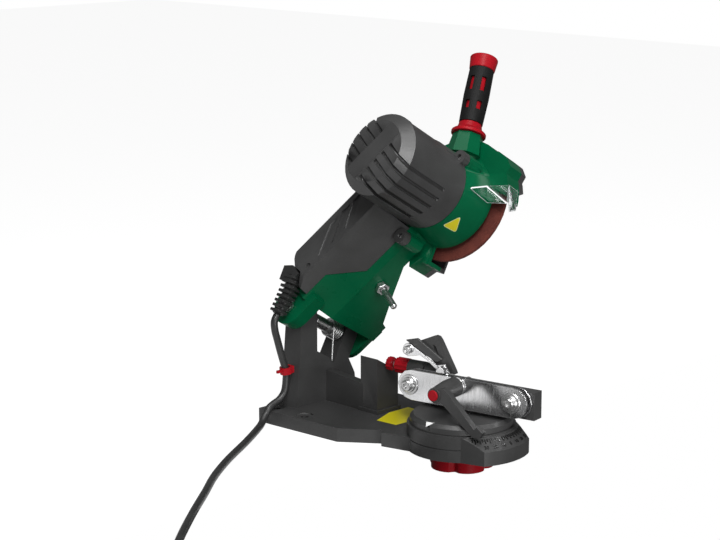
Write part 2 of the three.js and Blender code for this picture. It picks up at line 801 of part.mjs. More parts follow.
// Clamp lever with its cap, on a threaded stud held in the vise body
function makeClampStud() {
  return at(disc(studRadius, -hubTip + overrun * 2, bodyRear, 'y', smallSides), clampX, 0, clampZ);
}
function makeLever() {
  const waist = hubRoot + (hubTip - hubRoot) * hubWaistShare;
  const hub = turned([
    [0, -hubTip], [hubTipRadius, -hubTip], [hubRootRadius, -waist], [hubRootRadius, -hubRoot], [0, -hubRoot],
  ], 'y', mediumSides);
  const front = -hubTip + leverSetback;
  const bar = prism(scaled(leverShares, leverReach, leverDrop), front, front + leverThickness, 'y');
  const bore = disc(studRadius + gap, -hubTip + overrun * 2 - gap, -hubRoot + overrun, 'y', smallSides);
  return at(join(hub, bar).subtract(bore), clampX, 0, clampZ);
}
place(viseTurn, 'clamp_stud', makeClampStud(), steel);
place(viseTurn, 'clamp_lever', makeLever(), darkPlastic);
const capDisc = disc(capRadius, -hubTip - gap - capHeight, -hubTip - gap, 'y', mediumSides);
place(viseTurn, 'clamp_lever_cap', at(capDisc, clampX, 0, clampZ), red);
function makeClampWasher() {
  return at(ring(hubRootRadius, studRadius + gap, -hubRoot + gap, -jawOuter - gap, 'y', mediumSides), clampX, 0, clampZ);
}
place(viseTurn, 'clamp_washer', makeClampWasher(), steel);

// Chain stop: bracket on a rod, flip-down pawl, adjusting knobs
const stopOutline = (shares) => shifted(scaled(shares, stopSpan, stopHeight), 0, stopBaseZ);
function makeBracket() {
  const window = prism(stopOutline(bracketHoleShares), bracketFront - overrun, bracketRear + overrun, 'y');
  const plate = prism(stopOutline(bracketShares), bracketFront, bracketRear, 'y').subtract(window);
  const eye = at(disc(barrelRadius, -barrelRight + stopTravel + gap, -barrelRight / 2, 'x', mediumSides), 0, stopRodOff, stopRodZ);
  const pin = at(disc(pawlPivotRadius + gap, bracketFront - overrun, bracketRear + overrun, 'y', smallSides), -pawlPivotX, 0, pawlPivotZ);
  const rodHole = at(disc(stopRodRadius + gap, -barrelRight - overrun, -barrelRight / 2 - overrun, 'x', smallSides), 0, stopRodOff, stopRodZ);
  const under = block(-barrelRight, 0, bracketFront - overrun, stopRodOff + barrelRadius + overrun, 0, viseBodyHigh + gap);
  const barrelRoom = at(disc(barrelRadius + gap, -barrelLeft - overrun, -barrelRight + stopTravel + gap, 'x', mediumSides), 0, stopRodOff, stopRodZ);
  const blockRoom = block(-barrelLeft, -barrelRight + overrun + stopTravel + gap, 0, stopRodOff + gap, 0, stopRodZ + gap);
  return join(plate, eye).subtract(pin).subtract(rodHole).subtract(under).subtract(barrelRoom).subtract(blockRoom);
}
place(viseTurn, 'stop_bracket', makeBracket(), darkPlastic);

function makeRod() {
  const rod = disc(stopRodRadius, -endKnobRight, -barrelRight / 2 - overrun - gap, 'x', smallSides);
  return at(rod, 0, stopRodOff, stopRodZ);
}
place(viseTurn, 'stop_rod', makeRod(), steel);

function knobOutline(radius) {
  const points = [];
  for (let i = 0; i < knobRibs * 2; i += 1) points.push(spot(i % 2 ? radius : radius - seamDepth, (whole * i) / (knobRibs * 2)));
  return points;
}
function makeFineKnob() {
  const body = prism(knobOutline(fineKnobRadius), -fineKnobLeft, -barrelLeft - gap, 'x');
  return at(body.subtract(disc(stopRodRadius + gap, -endKnobLeft, -barrelRight, 'x', smallSides)), 0, stopRodOff, stopRodZ);
}
function makeEndKnob() {
  return at(prism(knobOutline(endKnobRadius), -endKnobLeft, -endKnobRight - gap, 'x'), 0, stopRodOff, stopRodZ);
}
place(viseTurn, 'stop_adjuster', makeFineKnob(), red);
place(viseTurn, 'stop_end_knob', makeEndKnob(), red);

function makePawl() {
  const front = pawlPlateFront;
  const rear = pawlPlateFront + pawlPlateThickness;
  const strip = prism(stopOutline(pawlShares), front, rear, 'y');
  const eye = at(disc(pawlHeadRadius, front, rear, 'y', mediumSides), -pawlPivotX, 0, pawlPivotZ);
  const tab = prism(stopOutline(pawlTabShares), -jawInner / 2, rear, 'y');
  const hole = at(disc(pawlPivotRadius + gap, front - overrun, rear + overrun, 'y', smallSides), -pawlPivotX, 0, pawlPivotZ);
  return join(strip, eye, tab).subtract(hole);
}
function makePawlBar() {
  const bar = prism(stopOutline(pawlBarShares), pawlBarFront + gap / 2, pawlBarRear, 'y');
  const hole = at(disc(pawlPivotRadius + gap, 0, pawlBarRear + overrun, 'y', smallSides), -pawlPivotX, 0, pawlPivotZ);
  return bar.subtract(hole);
}
function makePawlScrew() {
  const front = pawlPlateFront - gap;
  const body = join(
    disc(screwHeadRadius, front - screwHeadHeight, front, 'y', smallSides),
    disc(pawlPivotRadius, front - shoulderHeight, bracketRear - gap, 'y', smallSides),
  ).subtract(hex(screwHeadRadius * socketShare * 2, front - screwHeadHeight - overrun, front - screwHeadHeight + socketDepth, 'y'));
  return at(body, -pawlPivotX, 0, pawlPivotZ);
}
place(viseTurn, 'stop_pawl', makePawl(), brightSteel);
place(viseTurn, 'pawl_lever', makePawlBar(), darkPlastic);
place(viseTurn, 'pawl_screw', makePawlScrew(), brightSteel);

// Head: across is local x, forward and back is y, lift is z; the arm turns about local x
const headGroup = new THREE.Group();
headGroup.position.set(pivotX, pivotY - tableOffset, pivotZ);
headGroup.rotation.y = radians(headTilt);
group.add(headGroup);
const pivotGroup = new THREE.Group();
headGroup.add(pivotGroup);
const armGroup = new THREE.Group();
armGroup.rotation.x = radians(armAngle);
headGroup.add(armGroup);
const spindle = new THREE.Group();
spindle.position.set(0, -armReach, 0);
armGroup.add(spindle);

// Arm section across the wheel's plane: ridge on the left, sloping down to the keel
function armSection(inset, right) {
  const slope = (armBottom - armRidge) / (armLeft - armKeel);
  const drop = inset * Math.hypot(1, slope);
  const left = armLeft - inset;
  const ridge = armRidge + slope * inset - drop;
  const keel = armKeel + (inset - drop) / slope;
  return [
    [-left, armTop - inset], [-left, -ridge], [-keel, -armBottom + inset], [right - inset, -armBottom + inset],
    [right - inset, armTop - inset],
  ];
}
function armBar(inset, right) {
  return prism(armSection(inset, right).map(([across, lift]) => [across, lift]), 0, armEnd, 'y');
}
const armPlan = (shares) => scaled(shares, armLeft, armReach);
const armSide = (shares) => scaled(shares, armReach, armTop);
const shellPlan = () => [[-armLeft, shellStart], [-splitLeft, shellStart], ...armPlan(shellPlanShares)];
const framePlan = () => [[-splitLeft, frameStart], ...armPlan(framePlanShares), [-armLeft * frameEdgeShare, frameStart]];
const shellSide = () => [
  [shellMouth, armTop * shellMouthShare], ...armSide(shellEndShares), [shellMouth, -armTop * shellMouthShare],
];
function grown(points, by) {
  const middle = points.reduce(([u, v], [p, q]) => [u + p / points.length, v + q / points.length], [0, 0]);
  const reach = Math.max(...points.map(([u, v]) => Math.hypot(u - middle[0], v - middle[1])));
  return points.map(([u, v]) => [middle[0] + (u - middle[0]) * (1 + by / reach), middle[1] + (v - middle[1]) * (1 + by / reach)]);
}

// Motor housing with the left half of the arm
function makeHousing() {
  const tall = armTop + armBottom;
  const can = turned([
    [0, -housingFace], [housingFaceRadius, -housingFace], [housingRadius, -housingShoulder], [housingRadius, -splitLeft - gap],
    [0, -splitLeft - gap],
  ], 'x');
  const bore = turned([
    [0, -housingFace + housingWall], [housingFaceRadius - housingWall, -housingFace + housingWall],
    [housingRadius - housingWall, -housingShoulder + housingWall], [housingRadius - housingWall, -splitLeft + overrun],
    [0, -splitLeft + overrun],
  ], 'x');
  const shell = armBar(0, armLeft)
    .intersect(prism(shellPlan(), -tall, tall))
    .intersect(prism(shellSide(), -armLeft * 2, armLeft * 2, 'x'));
  const hollow = armBar(armWall, armLeft)
    .intersect(prism(grown(shellPlan(), -armWall), -tall, tall))
    .intersect(prism(grown(shellSide(), -armWall), -armLeft * 2, armLeft * 2, 'x'));
  const mouth = block(-splitLeft - armWall * 2, -splitLeft + overrun, housingRadius + armWall, armReach * 0.5, -armRidge, armTop - armWall);
  const upperBoss = disc(bossRadius, -splitLeft - bossLength, -splitLeft - gap, 'x', smallSides);
  const [upperAlong, upperLift] = spot(bossReach, bossAngle);
  const [lowerAlong, lowerLift] = spot(lowerBossReach, lowerBossAngle);
  let body = join(can, shell, at(upperBoss, 0, upperAlong, upperLift), at(upperBoss, 0, lowerAlong, lowerLift));
  const hole = disc(bossHoleRadius, -splitLeft - bossLength - overrun * 4, -splitLeft + overrun, 'x', smallSides);
  body = body.subtract(bore).subtract(hollow).subtract(mouth);
  body = body.subtract(at(hole, 0, upperAlong, upperLift)).subtract(at(hole, 0, lowerAlong, lowerLift));
  // Cross bar and cooling ribs on the end; the grooves have round floors, so that the wall stays whole
  const slots = [];
  const floorRadius = housingRadius - grooveDepth;
  const drum = turned([
    [0, -housingFace + faceGrooveDepth], [housingFaceRadius - grooveDepth / 2, -housingFace + faceGrooveDepth],
    [floorRadius, -housingShoulder + grooveDepth / 2], [floorRadius, -grooveEnd + overrun], [0, -grooveEnd + overrun],
  ], 'x');
  for (const side of [-1, 1]) {
    for (let i = -2; i <= 2; i += 1) {
      const along = -ribOffset + (i + 0.5) * ribPitch;
      const inner = (side * barWidth) / 2;
      const outer = side * (housingRadius + overrun);
      const [low, high] = [Math.min(inner, outer), Math.max(inner, outer)];
      slots.push(block(-housingFace - overrun, -grooveEnd, along - grooveWidth / 2, along + grooveWidth / 2, low, high));
    }
  }
  const ribbed = join(...slots).subtract(drum).subtract(block(-housingFace, 0, armStart, armEnd, -housingRadius, housingRadius));
  body = body.subtract(ribbed);
  const panel = prism(sector(panelFrom, panelTo, housingRadius * 2), -panelStart, -panelEnd, 'x')
    .subtract(disc(housingRadius - panelDepth, -housingFace, 0, 'x'));
  body = body.subtract(panel);
  const bar = block(-housingFace - barLift, -housingFace + overrun / 2, -housingFaceRadius, housingFaceRadius, -barWidth / 2, barWidth / 2);
  body = join(body, bar.intersect(disc(housingFaceRadius, -housingFace - barLift, -housingFace + overrun, 'x')));
  // Bearing seat, vents, recessed screw, switch opening
  const seat = ring(rearBearingRadius + gap + bearingSeatWall, rearBearingRadius + gap, -housingFace + housingWall / 2, -rearBearingEnd, 'x', mediumSides);
  body = join(body, seat);
  for (const vent of ventShares) {
    body = body.subtract(prism(armSide(vent), -armLeft - overrun, -armLeft + ventDepth, 'x'));
  }
  body = body.subtract(at(disc(bossHoleRadius, -armLeft - overrun, -armLeft + ventDepth, 'x', smallSides), 0, shellScrewAlong, 0));
  const [halfWidth, halfLength] = [switchWidth / 2 + gap, switchLength / 2 + gap];
  const opening = block(
    -switchAcross - halfWidth, -switchAcross + halfWidth, switchAlong - halfLength, switchAlong + halfLength,
    armTop - armWall * 2, armTop + overrun,
  );
  body = body.subtract(opening);
  return body;
}
place(spindle, 'motor_housing', makeHousing(), darkPlastic);

// Green frame: bell, guard rim, handle neck, right half of the arm and the two ears
function alongHandle(distance) {
  const [along, lift] = spot(handleRadius, handleAngle);
  const [stepAlong, stepLift] = spot(distance, handleLean);
  return [along + stepAlong, lift + stepLift];
}
function guardCut(low, high) {
  const open = prism(sector(openFrom, openTo, guardRadius * 2), low, high, 'x');
  return open.subtract(disc(bellMouthRadius, low - overrun, high + overrun, 'x'));
}
function noseOutline() {
  const span = noseTo - noseFrom;
  return [
    spot(noseInner, noseFrom), spot(noseShoulder, noseFrom + span / 6), spot(noseOuter, noseFrom + span / 2),
    spot(noseOuter, noseTo - span / 4), spot(noseInner, noseTo),
  ];
}
function makeFrame() {
  const tall = armTop + armBottom;
  const bell = turned([
    [frontBearingRadius + gap, -splitLeft + gap], [housingRadius, -splitLeft + gap], [bellMouthRadius, -bellMouth],
    [guardRadius, -bellMouth], [guardRadius, guardRight], [guardRadius - guardWall, guardRight],
    [guardRadius - guardWall, -bellMouth + bellWall], [bellMouthRadius - bellWall, -bellMouth + bellWall],
    [housingRadius - bellWall, -bellWebEnd], [frontBearingRadius + gap + bearingSeatWall, -bellWebEnd],
    [frontBearingRadius + gap + bearingSeatWall, -frontBearingEnd + gap], [frontBearingRadius + gap, -frontBearingEnd + gap],
    [frontBearingRadius + gap, -splitLeft + gap],
  ], 'x');
  const nose = prism(noseOutline(), -bellMouth, guardRight, 'x');
  const lug = prism(scaled(lugShares, lugReach, lugReach), -lugLeft, guardRight, 'x');
  const neckFrom = alongHandle(-neckLength);
  const neckCone = turned([[0, 0], [neckRootRadius, 0], [neckRadius, neckLength - gap], [0, neckLength - gap]], 'z', neckSides);
  const neckBody = turn(neckCone, handleLean - quarter, 0, 0);
  const neck = at(neckBody, -handleAcross, neckFrom[0], neckFrom[1]);
  const arm = armBar(0, armLeft)
    .intersect(prism(framePlan(), -tall, tall))
    .subtract(prism(grownShell(gap), -tall, tall));
  const hollow = armBar(armWall, armLeft)
    .intersect(prism(grown(framePlan(), -armWall), -tall, tall));
  const leftEar = join(
    at(disc(leftEarRadius, -leftEarOuter, -leftEarInner, 'x', mediumSides), 0, armReach, 0),
    block(-leftEarOuter, -leftEarInner, earRootAlong, armReach, -earHalfHeight - overrun, earHalfHeight),
  );
  const rightEar = join(
    at(disc(rightEarRadius, rightEarInner, rightEarOuter, 'x', mediumSides), 0, armReach, 0),
    block(rightEarInner, rightEarOuter, earRootAlong - overrun * 2, armReach, -rightEarRadius, earHalfHeight),
  );
  const room = turned([
    [0, -bellMouth + bellWall], [guardRadius - guardWall, -bellMouth + bellWall], [guardRadius - guardWall, guardRight + overrun],
    [0, guardRight + overrun],
  ], 'x');
  const bellRoom = turned([
    [0, -bellWebEnd], [housingRadius - bellWall, -bellWebEnd], [bellMouthRadius - bellWall, -bellMouth + bellWall],
    [bellMouthRadius - bellWall, 0], [0, 0],
  ], 'x');
  const screwBosses = [spot(bossReach, bossAngle), spot(lowerBossReach, lowerBossAngle)].map(([along, lift]) =>
    at(disc(bossRadius, -splitLeft + gap, -splitLeft + bossScrewLength + armWall, 'x', smallSides), 0, along, lift));
  let body = join(
    bell, arm.subtract(hollow).subtract(disc(housingRadius + gap, -armLeft * 2, -splitLeft, 'x')), nose, neck, lug, ...screwBosses,
  );
  body = body.subtract(room).subtract(guardCut(-bellMouth - gap, guardRight + overrun));
  const seat = ring(frontBearingRadius + gap + bearingSeatWall, frontBearingRadius + gap, -splitLeft + gap, -frontBearingEnd + gap, 'x', mediumSides);
  body = join(body.subtract(bellRoom), seat);
  body = join(body, leftEar, rightEar);
  const bolt = disc(shaftRadius + gap, -armLeft, armLeft, 'x', smallSides);
  body = body.subtract(at(bolt, 0, armReach, 0));
  const stopHole = disc(depthRadius + gap, -armBottom - overrun, -armBottom + armWall + overrun, 'z', smallSides);
  body = body.subtract(at(stopHole, -depthAcross, depthAlong, 0));
  const handleHole = turn(disc(handleBoltRadius + gap, -neckLength, overrun, 'z', smallSides), handleLean - quarter, 0, 0);
  const [holeAlong, holeLift] = alongHandle(0);
  body = body.subtract(at(handleHole, -handleAcross, holeAlong, holeLift));
  const pilot = disc(bossScrewRadius + gap, -splitLeft - overrun, -splitLeft + bossScrewLength, 'x', smallSides);
  for (const [along, lift] of [spot(bossReach, bossAngle), spot(lowerBossReach, lowerBossAngle)]) {
    body = body.subtract(at(pilot, 0, along, lift));
  }
  return body;
}
function grownShell(by) {
  return shifted(shellPlan(), by, by);
}
place(spindle, 'arm_frame', makeFrame(), green);

function makeCover() {
  const dish = turned([
    [0, coverRight - coverWall], [guardRadius - guardWall, coverRight - coverWall], [guardRadius - guardWall, guardRight + gap],
    [guardRadius, guardRight + gap], [guardRadius, coverRight], [0, coverRight],
  ], 'x');
  const nose = prism(noseOutline(), guardRight + gap, coverRight, 'x');
  const lug = prism(scaled(lugShares, lugReach, lugReach), guardRight + gap, coverRight, 'x');
  const room = disc(guardRadius - guardWall, 0, coverRight - coverWall, 'x');
  const open = prism(sector(coverOpenFrom, openTo, guardRadius * 2), 0, coverRight + overrun, 'x')
    .subtract(disc(coverHubRadius, -overrun, coverRight + overrun * 2, 'x'));
  return join(dish, nose, lug).subtract(room).subtract(open);
}
place(spindle, 'guard_cover', makeCover(), darkPlastic);

// Wheel, flanges, nut and the parts on the shaft
const wheelHalf = wheelThickness / 2;
place(spindle, 'grinding_wheel', ring(wheelRadius, wheelBore, -wheelHalf, wheelHalf, 'x'), abrasive);
function makeFlange(side) {
  const face = wheelHalf + gap;
  const profile = [
    [driveRadius + gap, face + flangeThickness], [driveRadius + gap, face + flangeRecess], [flangeRadius - flangeRim, face + flangeRecess],
    [flangeRadius - flangeRim, face], [flangeRadius, face], [flangeRadius, face + flangeThickness],
    [driveRadius + gap, face + flangeThickness],
  ].map(([r, h]) => [r, h * side]);
  return turned(profile, 'x', mediumSides);
}
const innerFlange = join(
  makeFlange(-1),
  ring(wheelBore - gap, driveRadius + gap, -wheelHalf - gap - flangeRecess - gap, wheelHalf - gap, 'x', mediumSides),
);
place(spindle, 'inner_flange', innerFlange, steel);
place(spindle, 'outer_flange', makeFlange(1), steel);
const nutStart = wheelHalf + gap + flangeThickness + gap;
const wheelNut = hex(nutFlats, nutStart, nutStart + nutThickness, 'x')
  .subtract(disc(motorShaftRadius + gap, 0, coverRight, 'x', smallSides));
place(spindle, 'wheel_nut', wheelNut, steel);
const shaft = turned([
  [0, -rearBearingStart], [motorShaftRadius, -rearBearingStart], [motorShaftRadius, -fanEnd + gap], [driveRadius, -fanEnd + gap],
  [driveRadius, -collarStart], [collarRadius, -collarStart], [collarRadius, -wheelHalf - gap * 2 - flangeThickness],
  [driveRadius, -wheelHalf - gap * 2 - flangeThickness], [driveRadius, wheelHalf + gap], [motorShaftRadius, wheelHalf + gap],
  [motorShaftRadius, threadLength], [0, threadLength],
], 'x', smallSides);
place(spindle, 'motor_shaft', shaft, steel);
const rotorBore = motorShaftRadius + gap;
const rotor = join(
  ring(rotorRadius, rotorBore, -statorStart, -statorEnd, 'x', mediumSides),
  ring(windingRadius, rotorBore, -statorStart - windingLength, -statorEnd + windingLength, 'x', mediumSides),
);
place(spindle, 'rotor', rotor, iron);
place(spindle, 'stator', ring(housingRadius - housingWall - gap, statorInner, -statorStart, -statorEnd, 'x'), copper);
place(spindle, 'commutator', ring(commutatorRadius, rotorBore, -commutatorStart, -commutatorEnd, 'x', mediumSides), copper);
function makeFan() {
  const blades = [];
  for (let i = 0; i < fanBlades; i += 1) {
    const blade = block(-fanStart, -fanEnd, fanHubRadius - fanWeb, fanRadius, -fanWeb / 2, fanWeb / 2);
    blades.push(turn(blade, (whole * i) / fanBlades, 0, 0));
  }
  const web = disc(fanRadius, -fanEnd - fanWeb, -fanEnd, 'x', mediumSides);
  const hub = disc(fanHubRadius, -fanStart, -fanEnd, 'x', mediumSides);
  return join(web, hub, ...blades).subtract(disc(rotorBore, -fanStart - overrun, -fanEnd + overrun, 'x', smallSides));
}
place(spindle, 'cooling_fan', makeFan(), black);
const frontBearing = ring(frontBearingRadius, driveRadius + gap, -frontBearingStart, -frontBearingEnd, 'x', mediumSides);
place(spindle, 'front_bearing', frontBearing, steel);
const rearBearing = ring(rearBearingRadius, rotorBore, -rearBearingStart, -rearBearingEnd - gap, 'x', mediumSides);
place(spindle, 'rear_bearing', rearBearing, steel);

function makeHolder(side) {
  const [inside, outside] = [commutatorRadius + gap * 4, brushHolderReach];
  const wide = brushWidth / 2 + brushHolderWall;
  const from = -commutatorStart - gap;
  const to = -commutatorEnd + gap;
  const body = block(from, to, -wide, wide, inside, outside);
  const leg = block(-housingFace + housingWall + gap, to, -wide, wide, rearBearingRadius + bearingSeatWall + gap * 2, outside - housingWall * 2);
  const slot = block((from + to) / 2 - brushWidth / 2 - gap, (from + to) / 2 + brushWidth / 2 + gap, -brushWidth / 2 - gap, brushWidth / 2 + gap, 0, outside - gap * 4);
  const holder = join(body, leg).subtract(slot);
  return side > 0 ? holder : turn(holder, half, 0, 0);
}
function makeBrush(side) {
  const middle = -(commutatorStart + commutatorEnd) / 2;
  const brush = block(middle - brushWidth / 2, middle + brushWidth / 2, -brushWidth / 2, brushWidth / 2, commutatorRadius + gap, brushHolderReach - brushWidth);
  return side > 0 ? brush : turn(brush, half, 0, 0);
}
place(spindle, 'brush_holder_upper', makeHolder(1), black);
place(spindle, 'brush_holder_lower', makeHolder(-1), black);
place(spindle, 'brush_upper', makeBrush(1), carbon);
place(spindle, 'brush_lower', makeBrush(-1), carbon);

function makeBossScrew() {
  const head = -splitLeft - bossLength + overrun;
  return join(
    disc(bossScrewHead, head - shoulderHeight, head, 'x', smallSides),
    disc(bossScrewRadius, head - shoulderHeight / 2, -splitLeft + bossScrewLength - gap, 'x', smallSides),
  );
}
[spot(bossReach, bossAngle), spot(lowerBossReach, lowerBossAngle)].forEach(([along, lift], i) => {
  place(spindle, `housing_screw_${i ? 'lower' : 'upper'}`, at(makeBossScrew(), 0, along, lift), steel);
});

// Clear shield
const atShield = ([across, ahead, lift]) => new THREE.Vector3(across * shieldAcross, ahead * shieldReach, lift * shieldReach);
function makeShield() {
  const panels = [shieldShelfShares, shieldWingShares, shieldStripShares].map((shares) => {
    const points = shares.map(atShield);
    const normal = points[1].clone().sub(points[0]).cross(points[2].clone().sub(points[0])).normalize();
    const both = [];
    for (const point of points) {
      both.push(point.clone().addScaledVector(normal, shieldThickness / 2));
      both.push(point.clone().addScaledVector(normal, -shieldThickness / 2));
    }
    return hull(both);
  });
  const bell = turned([
    [0, -splitLeft * 2], [housingRadius + gap * 2, -splitLeft], [bellMouthRadius + gap * 2, -bellMouth - gap],
    [guardRadius + gap, -bellMouth - gap], [guardRadius + gap, coverRight + gap], [0, coverRight + gap],
  ], 'x');
  return join(...panels).subtract(bell);
}
const levelGroup = new THREE.Group();
levelGroup.rotation.x = -radians(armAngle);
spindle.add(levelGroup);
place(levelGroup, 'eye_shield', makeShield(), clear);

// Handle
const handleGroup = new THREE.Group();
handleGroup.position.set(-handleAcross, ...alongHandle(0));
handleGroup.rotation.x = radians(handleLean - quarter);
spindle.add(handleGroup);
const gripLow = flangeDiscHeight + collarHeight;
const gripHigh = gripLow + gripLength;
function makeHandleCore() {
  const core = turned([
    [0, gap], [flangeDiscRadius, gap], [flangeDiscRadius, flangeDiscHeight], [collarTopRadius + gap * 4, flangeDiscHeight * 2],
    [collarTopRadius, gripLow - gap], [coreRadius, gripLow - gap], [coreRadius, gripHigh + gap], [capTopRadius - gap * 4, gripHigh + gap],
    [capTopRadius, handleLength - gap * 4], [capTopRadius - gap * 4, handleLength], [0, handleLength],
  ], 'z', mediumSides);
  const bore = disc(handleBoltRadius + gap, -overrun, handleLength - flangeDiscHeight * 2, 'z', smallSides);
  return core.subtract(bore);
}
function makeGrip() {
  const middle = (gripLow + gripHigh) / 2;
  let sleeve = turned([
    [coreRadius + gap, gripLow], [gripRadius, gripLow], [gripBulge, middle], [gripRadius + gap, gripHigh],
    [coreRadius + gap, gripHigh], [coreRadius + gap, gripLow],
  ], 'z', mediumSides);
  for (const [from, to] of windowShares) {
    for (const angle of windowTurns) {
      const cut = block(coreRadius / 2, gripBulge * 2, -windowWidth / 2, windowWidth / 2, gripLow + gripLength * from, gripLow + gripLength * to);
      sleeve = sleeve.subtract(turn(cut, 0, 0, angle));
    }
  }
  return sleeve;
}
place(handleGroup, 'handle_core', makeHandleCore(), red);
place(handleGroup, 'handle_grip', makeGrip(), black);
const handleBolt = disc(handleBoltRadius, -neckLength + overrun, handleLength - flangeDiscHeight * 2 - gap, 'z', smallSides);
place(handleGroup, 'handle_bolt', handleBolt, steel);

// Switch
function makeSwitchBody() {
  const [w, l] = [switchWidth / 2, switchLength / 2];
  const body = block(-w, w, -l, l, armTop - switchDepth, armTop);
  const flange = block(-w - switchRim, w + switchRim, -l - switchRim, l + switchRim, armTop + gap, armTop + gap + switchFlange);
  const link = block(-w, w, -l, l, armTop - gap, armTop + switchFlange);
  const well = block(-w + switchRim, w - switchRim, -l + switchRim, l - switchRim, armTop - switchDepth / 2, armTop + overrun);
  return join(body, flange, link).subtract(well);
}
function makeRocker() {
  const [w, l] = [switchWidth / 2 - switchRim - gap, switchLength / 2 - switchRim - gap * 4];
  const top = rockerLift + switchFlange;
  const points = [[-l, 0], [l, 0], [l, top - rockerLift / 2], [0, top - rockerLift], [-l, top]];
  const body = prism(shifted(points, 0, 0), -w, w, 'x');
  const pin = disc(rockerLift / 2, -w, w, 'x', smallSides);
  return join(body, pin);
}
const switchGroup = new THREE.Group();
switchGroup.position.set(-switchAcross, switchAlong, 0);
spindle.add(switchGroup);
place(switchGroup, 'switch_body', makeSwitchBody(), black);
place(switchGroup, 'switch_rocker', at(turn(makeRocker(), 0, 0, 0), 0, 0, armTop), red);

// Depth stop screw and its nut
const depthScrew = turned([
  [0, -armBottom - depthReach], [depthRadius / 2, -armBottom - depthReach], [depthRadius, -armBottom - depthReach + depthRadius / 2],
  [depthRadius, -armBottom + depthInside], [0, -armBottom + depthInside],
], 'z', smallSides);
place(spindle, 'depth_screw', at(depthScrew, -depthAcross, depthAlong, 0), brightSteel);
const depthNut = hex(depthNutFlats, -armBottom - gap - depthNutThickness, -armBottom - gap, 'z')
  .subtract(disc(depthRadius + gap, -armBottom * 2, 0, 'z', smallSides));
place(spindle, 'depth_nut', at(depthNut, -depthAcross, depthAlong, 0), brightSteel);

// Pivot shaft, its heads, and the return spring
const pivotShaft = join(
  disc(shaftRadius, -leftEarOuter, rightEarOuter + pivotHeadThickness * 2, 'x', smallSides),
  disc(sleeveRadius, -sleeveLeft, sleeveRight, 'x', mediumSides),
);
place(pivotGroup, 'pivot_shaft', pivotShaft, steel);
const pivotHead = hex(pivotHeadFlats, -leftEarOuter - gap - pivotHeadThickness, -leftEarOuter - gap, 'x');
place(pivotGroup, 'pivot_bolt_head', pivotHead, brightSteel);
const pivotNut = hex(pivotHeadFlats, rightEarOuter + gap, rightEarOuter + gap + pivotHeadThickness * 1.5, 'x')
  .subtract(disc(shaftRadius + gap, 0, armLeft, 'x', smallSides));
place(pivotGroup, 'pivot_nut', pivotNut, brightSteel);
function springCentres() {
  const points = [];
  const steps = Math.round(springTurns) * springSteps;
  const startAngle = half;
  const [y0, z0] = spot(springRadius, startAngle);
  points.push(new THREE.Vector3(springStart, y0, z0 + springLeg));
  points.push(new THREE.Vector3(springStart, y0, z0 + springLeg / 2));
  for (let i = 0; i <= steps; i += 1) {
    const [y, z] = spot(springRadius, startAngle + (whole * i) / springSteps);
    points.push(new THREE.Vector3(springStart + (springPitch * i) / springSteps, y, z));
  }
  const last = points[points.length - 1];
  const middle = [notchMiddleX - pivotX, notchMiddleZ - pivotZ];
  const middleAcross = middle[0] * tiltCos - middle[1] * tiltSin;
  const middleLift = middle[0] * tiltSin + middle[1] * tiltCos;
  const reached = (last.x - springWire / 2 - middleAcross) / (notchRight - middleAcross);
  const floor = middleLift + (-notchDepth - middleLift) * reached + gap;
  points.push(new THREE.Vector3(last.x, last.y, (last.z + floor) / 2));
  points.push(new THREE.Vector3(last.x, last.y, floor));
  return points;
}
const springLine = springCentres();
console.log('return_spring least gap to itself, mm:', selfGap(springLine, springWire / 2, springRadius * 2).toFixed(2));
place(pivotGroup, 'return_spring', tube(springLine, springLine.map(() => springWire / 2), springSides), brightSteel);

// Strain relief: a block on the end of the arm, bending down into a ribbed sleeve that stays centred on the pivot
function makeRelief() {
  const centres = [];
  const radii = [];
  const low = -reliefEnd - overrun;
  const count = reliefRibs * 2;
  for (let i = 0; i <= count; i += 1) {
    const share = i / count;
    const lift = reliefTop + (low - reliefTop) * share;
    const ahead = reliefBend * Math.sqrt(Math.max(0, Math.min(1, (lift - low) / (reliefTop - low))));
    centres.push(new THREE.Vector3(-reliefAcross, ahead, lift));
    const radius = reliefTopRadius + (reliefEndRadius - reliefTopRadius) * share;
    radii.push(i % 2 ? radius - reliefGroove : radius);
  }
  const sleeve = tube(centres, radii, reliefSides, half / reliefSides);
  const around = disc(reliefEnd, -armLeft * 2, 0, 'x', mediumSides);
  const above = block(-armLeft * 2, 0, -armReach, armReach, 0, armReach);
  const wide = reliefRootWidth / 2;
  const outline = shifted(armSide(reliefRootShares), -armReach, 0);
  const root = turn(prism(outline, -reliefAcross - wide, -reliefAcross + wide, 'x'), armAngle, 0, 0);
  return join(sleeve.intersect(join(around, above)), root);
}
const levelPivot = new THREE.Group();
levelPivot.rotation.x = -radians(armAngle);
armGroup.add(levelPivot);
place(levelPivot, 'strain_relief', makeRelief(), black);

// Supply cord: a free stretch, a coil and a plug, laid on the bench
const cordLine = new THREE.CatmullRomCurve3(cordPoints.map(([x, y, z]) => new THREE.Vector3(x, y, z)), false, 'centripetal');
function cordSection(radius, sides) {
  const points = [];
  for (let i = 0; i < sides; i += 1) points.push(new THREE.Vector2(...spot(radius, (whole * (i + 0.5)) / sides)));
  return new THREE.Shape(points);
}
const cordBody = new THREE.ExtrudeGeometry(cordSection(cordRadius, cordSides), { steps: cordSteps, extrudePath: cordLine, bevelEnabled: false });
const cordGroup = new THREE.Group();
cordGroup.position.set(0, -tableOffset, ringHeight);
group.add(cordGroup);
place(cordGroup, 'supply_cord', solidOf(cordBody), black);

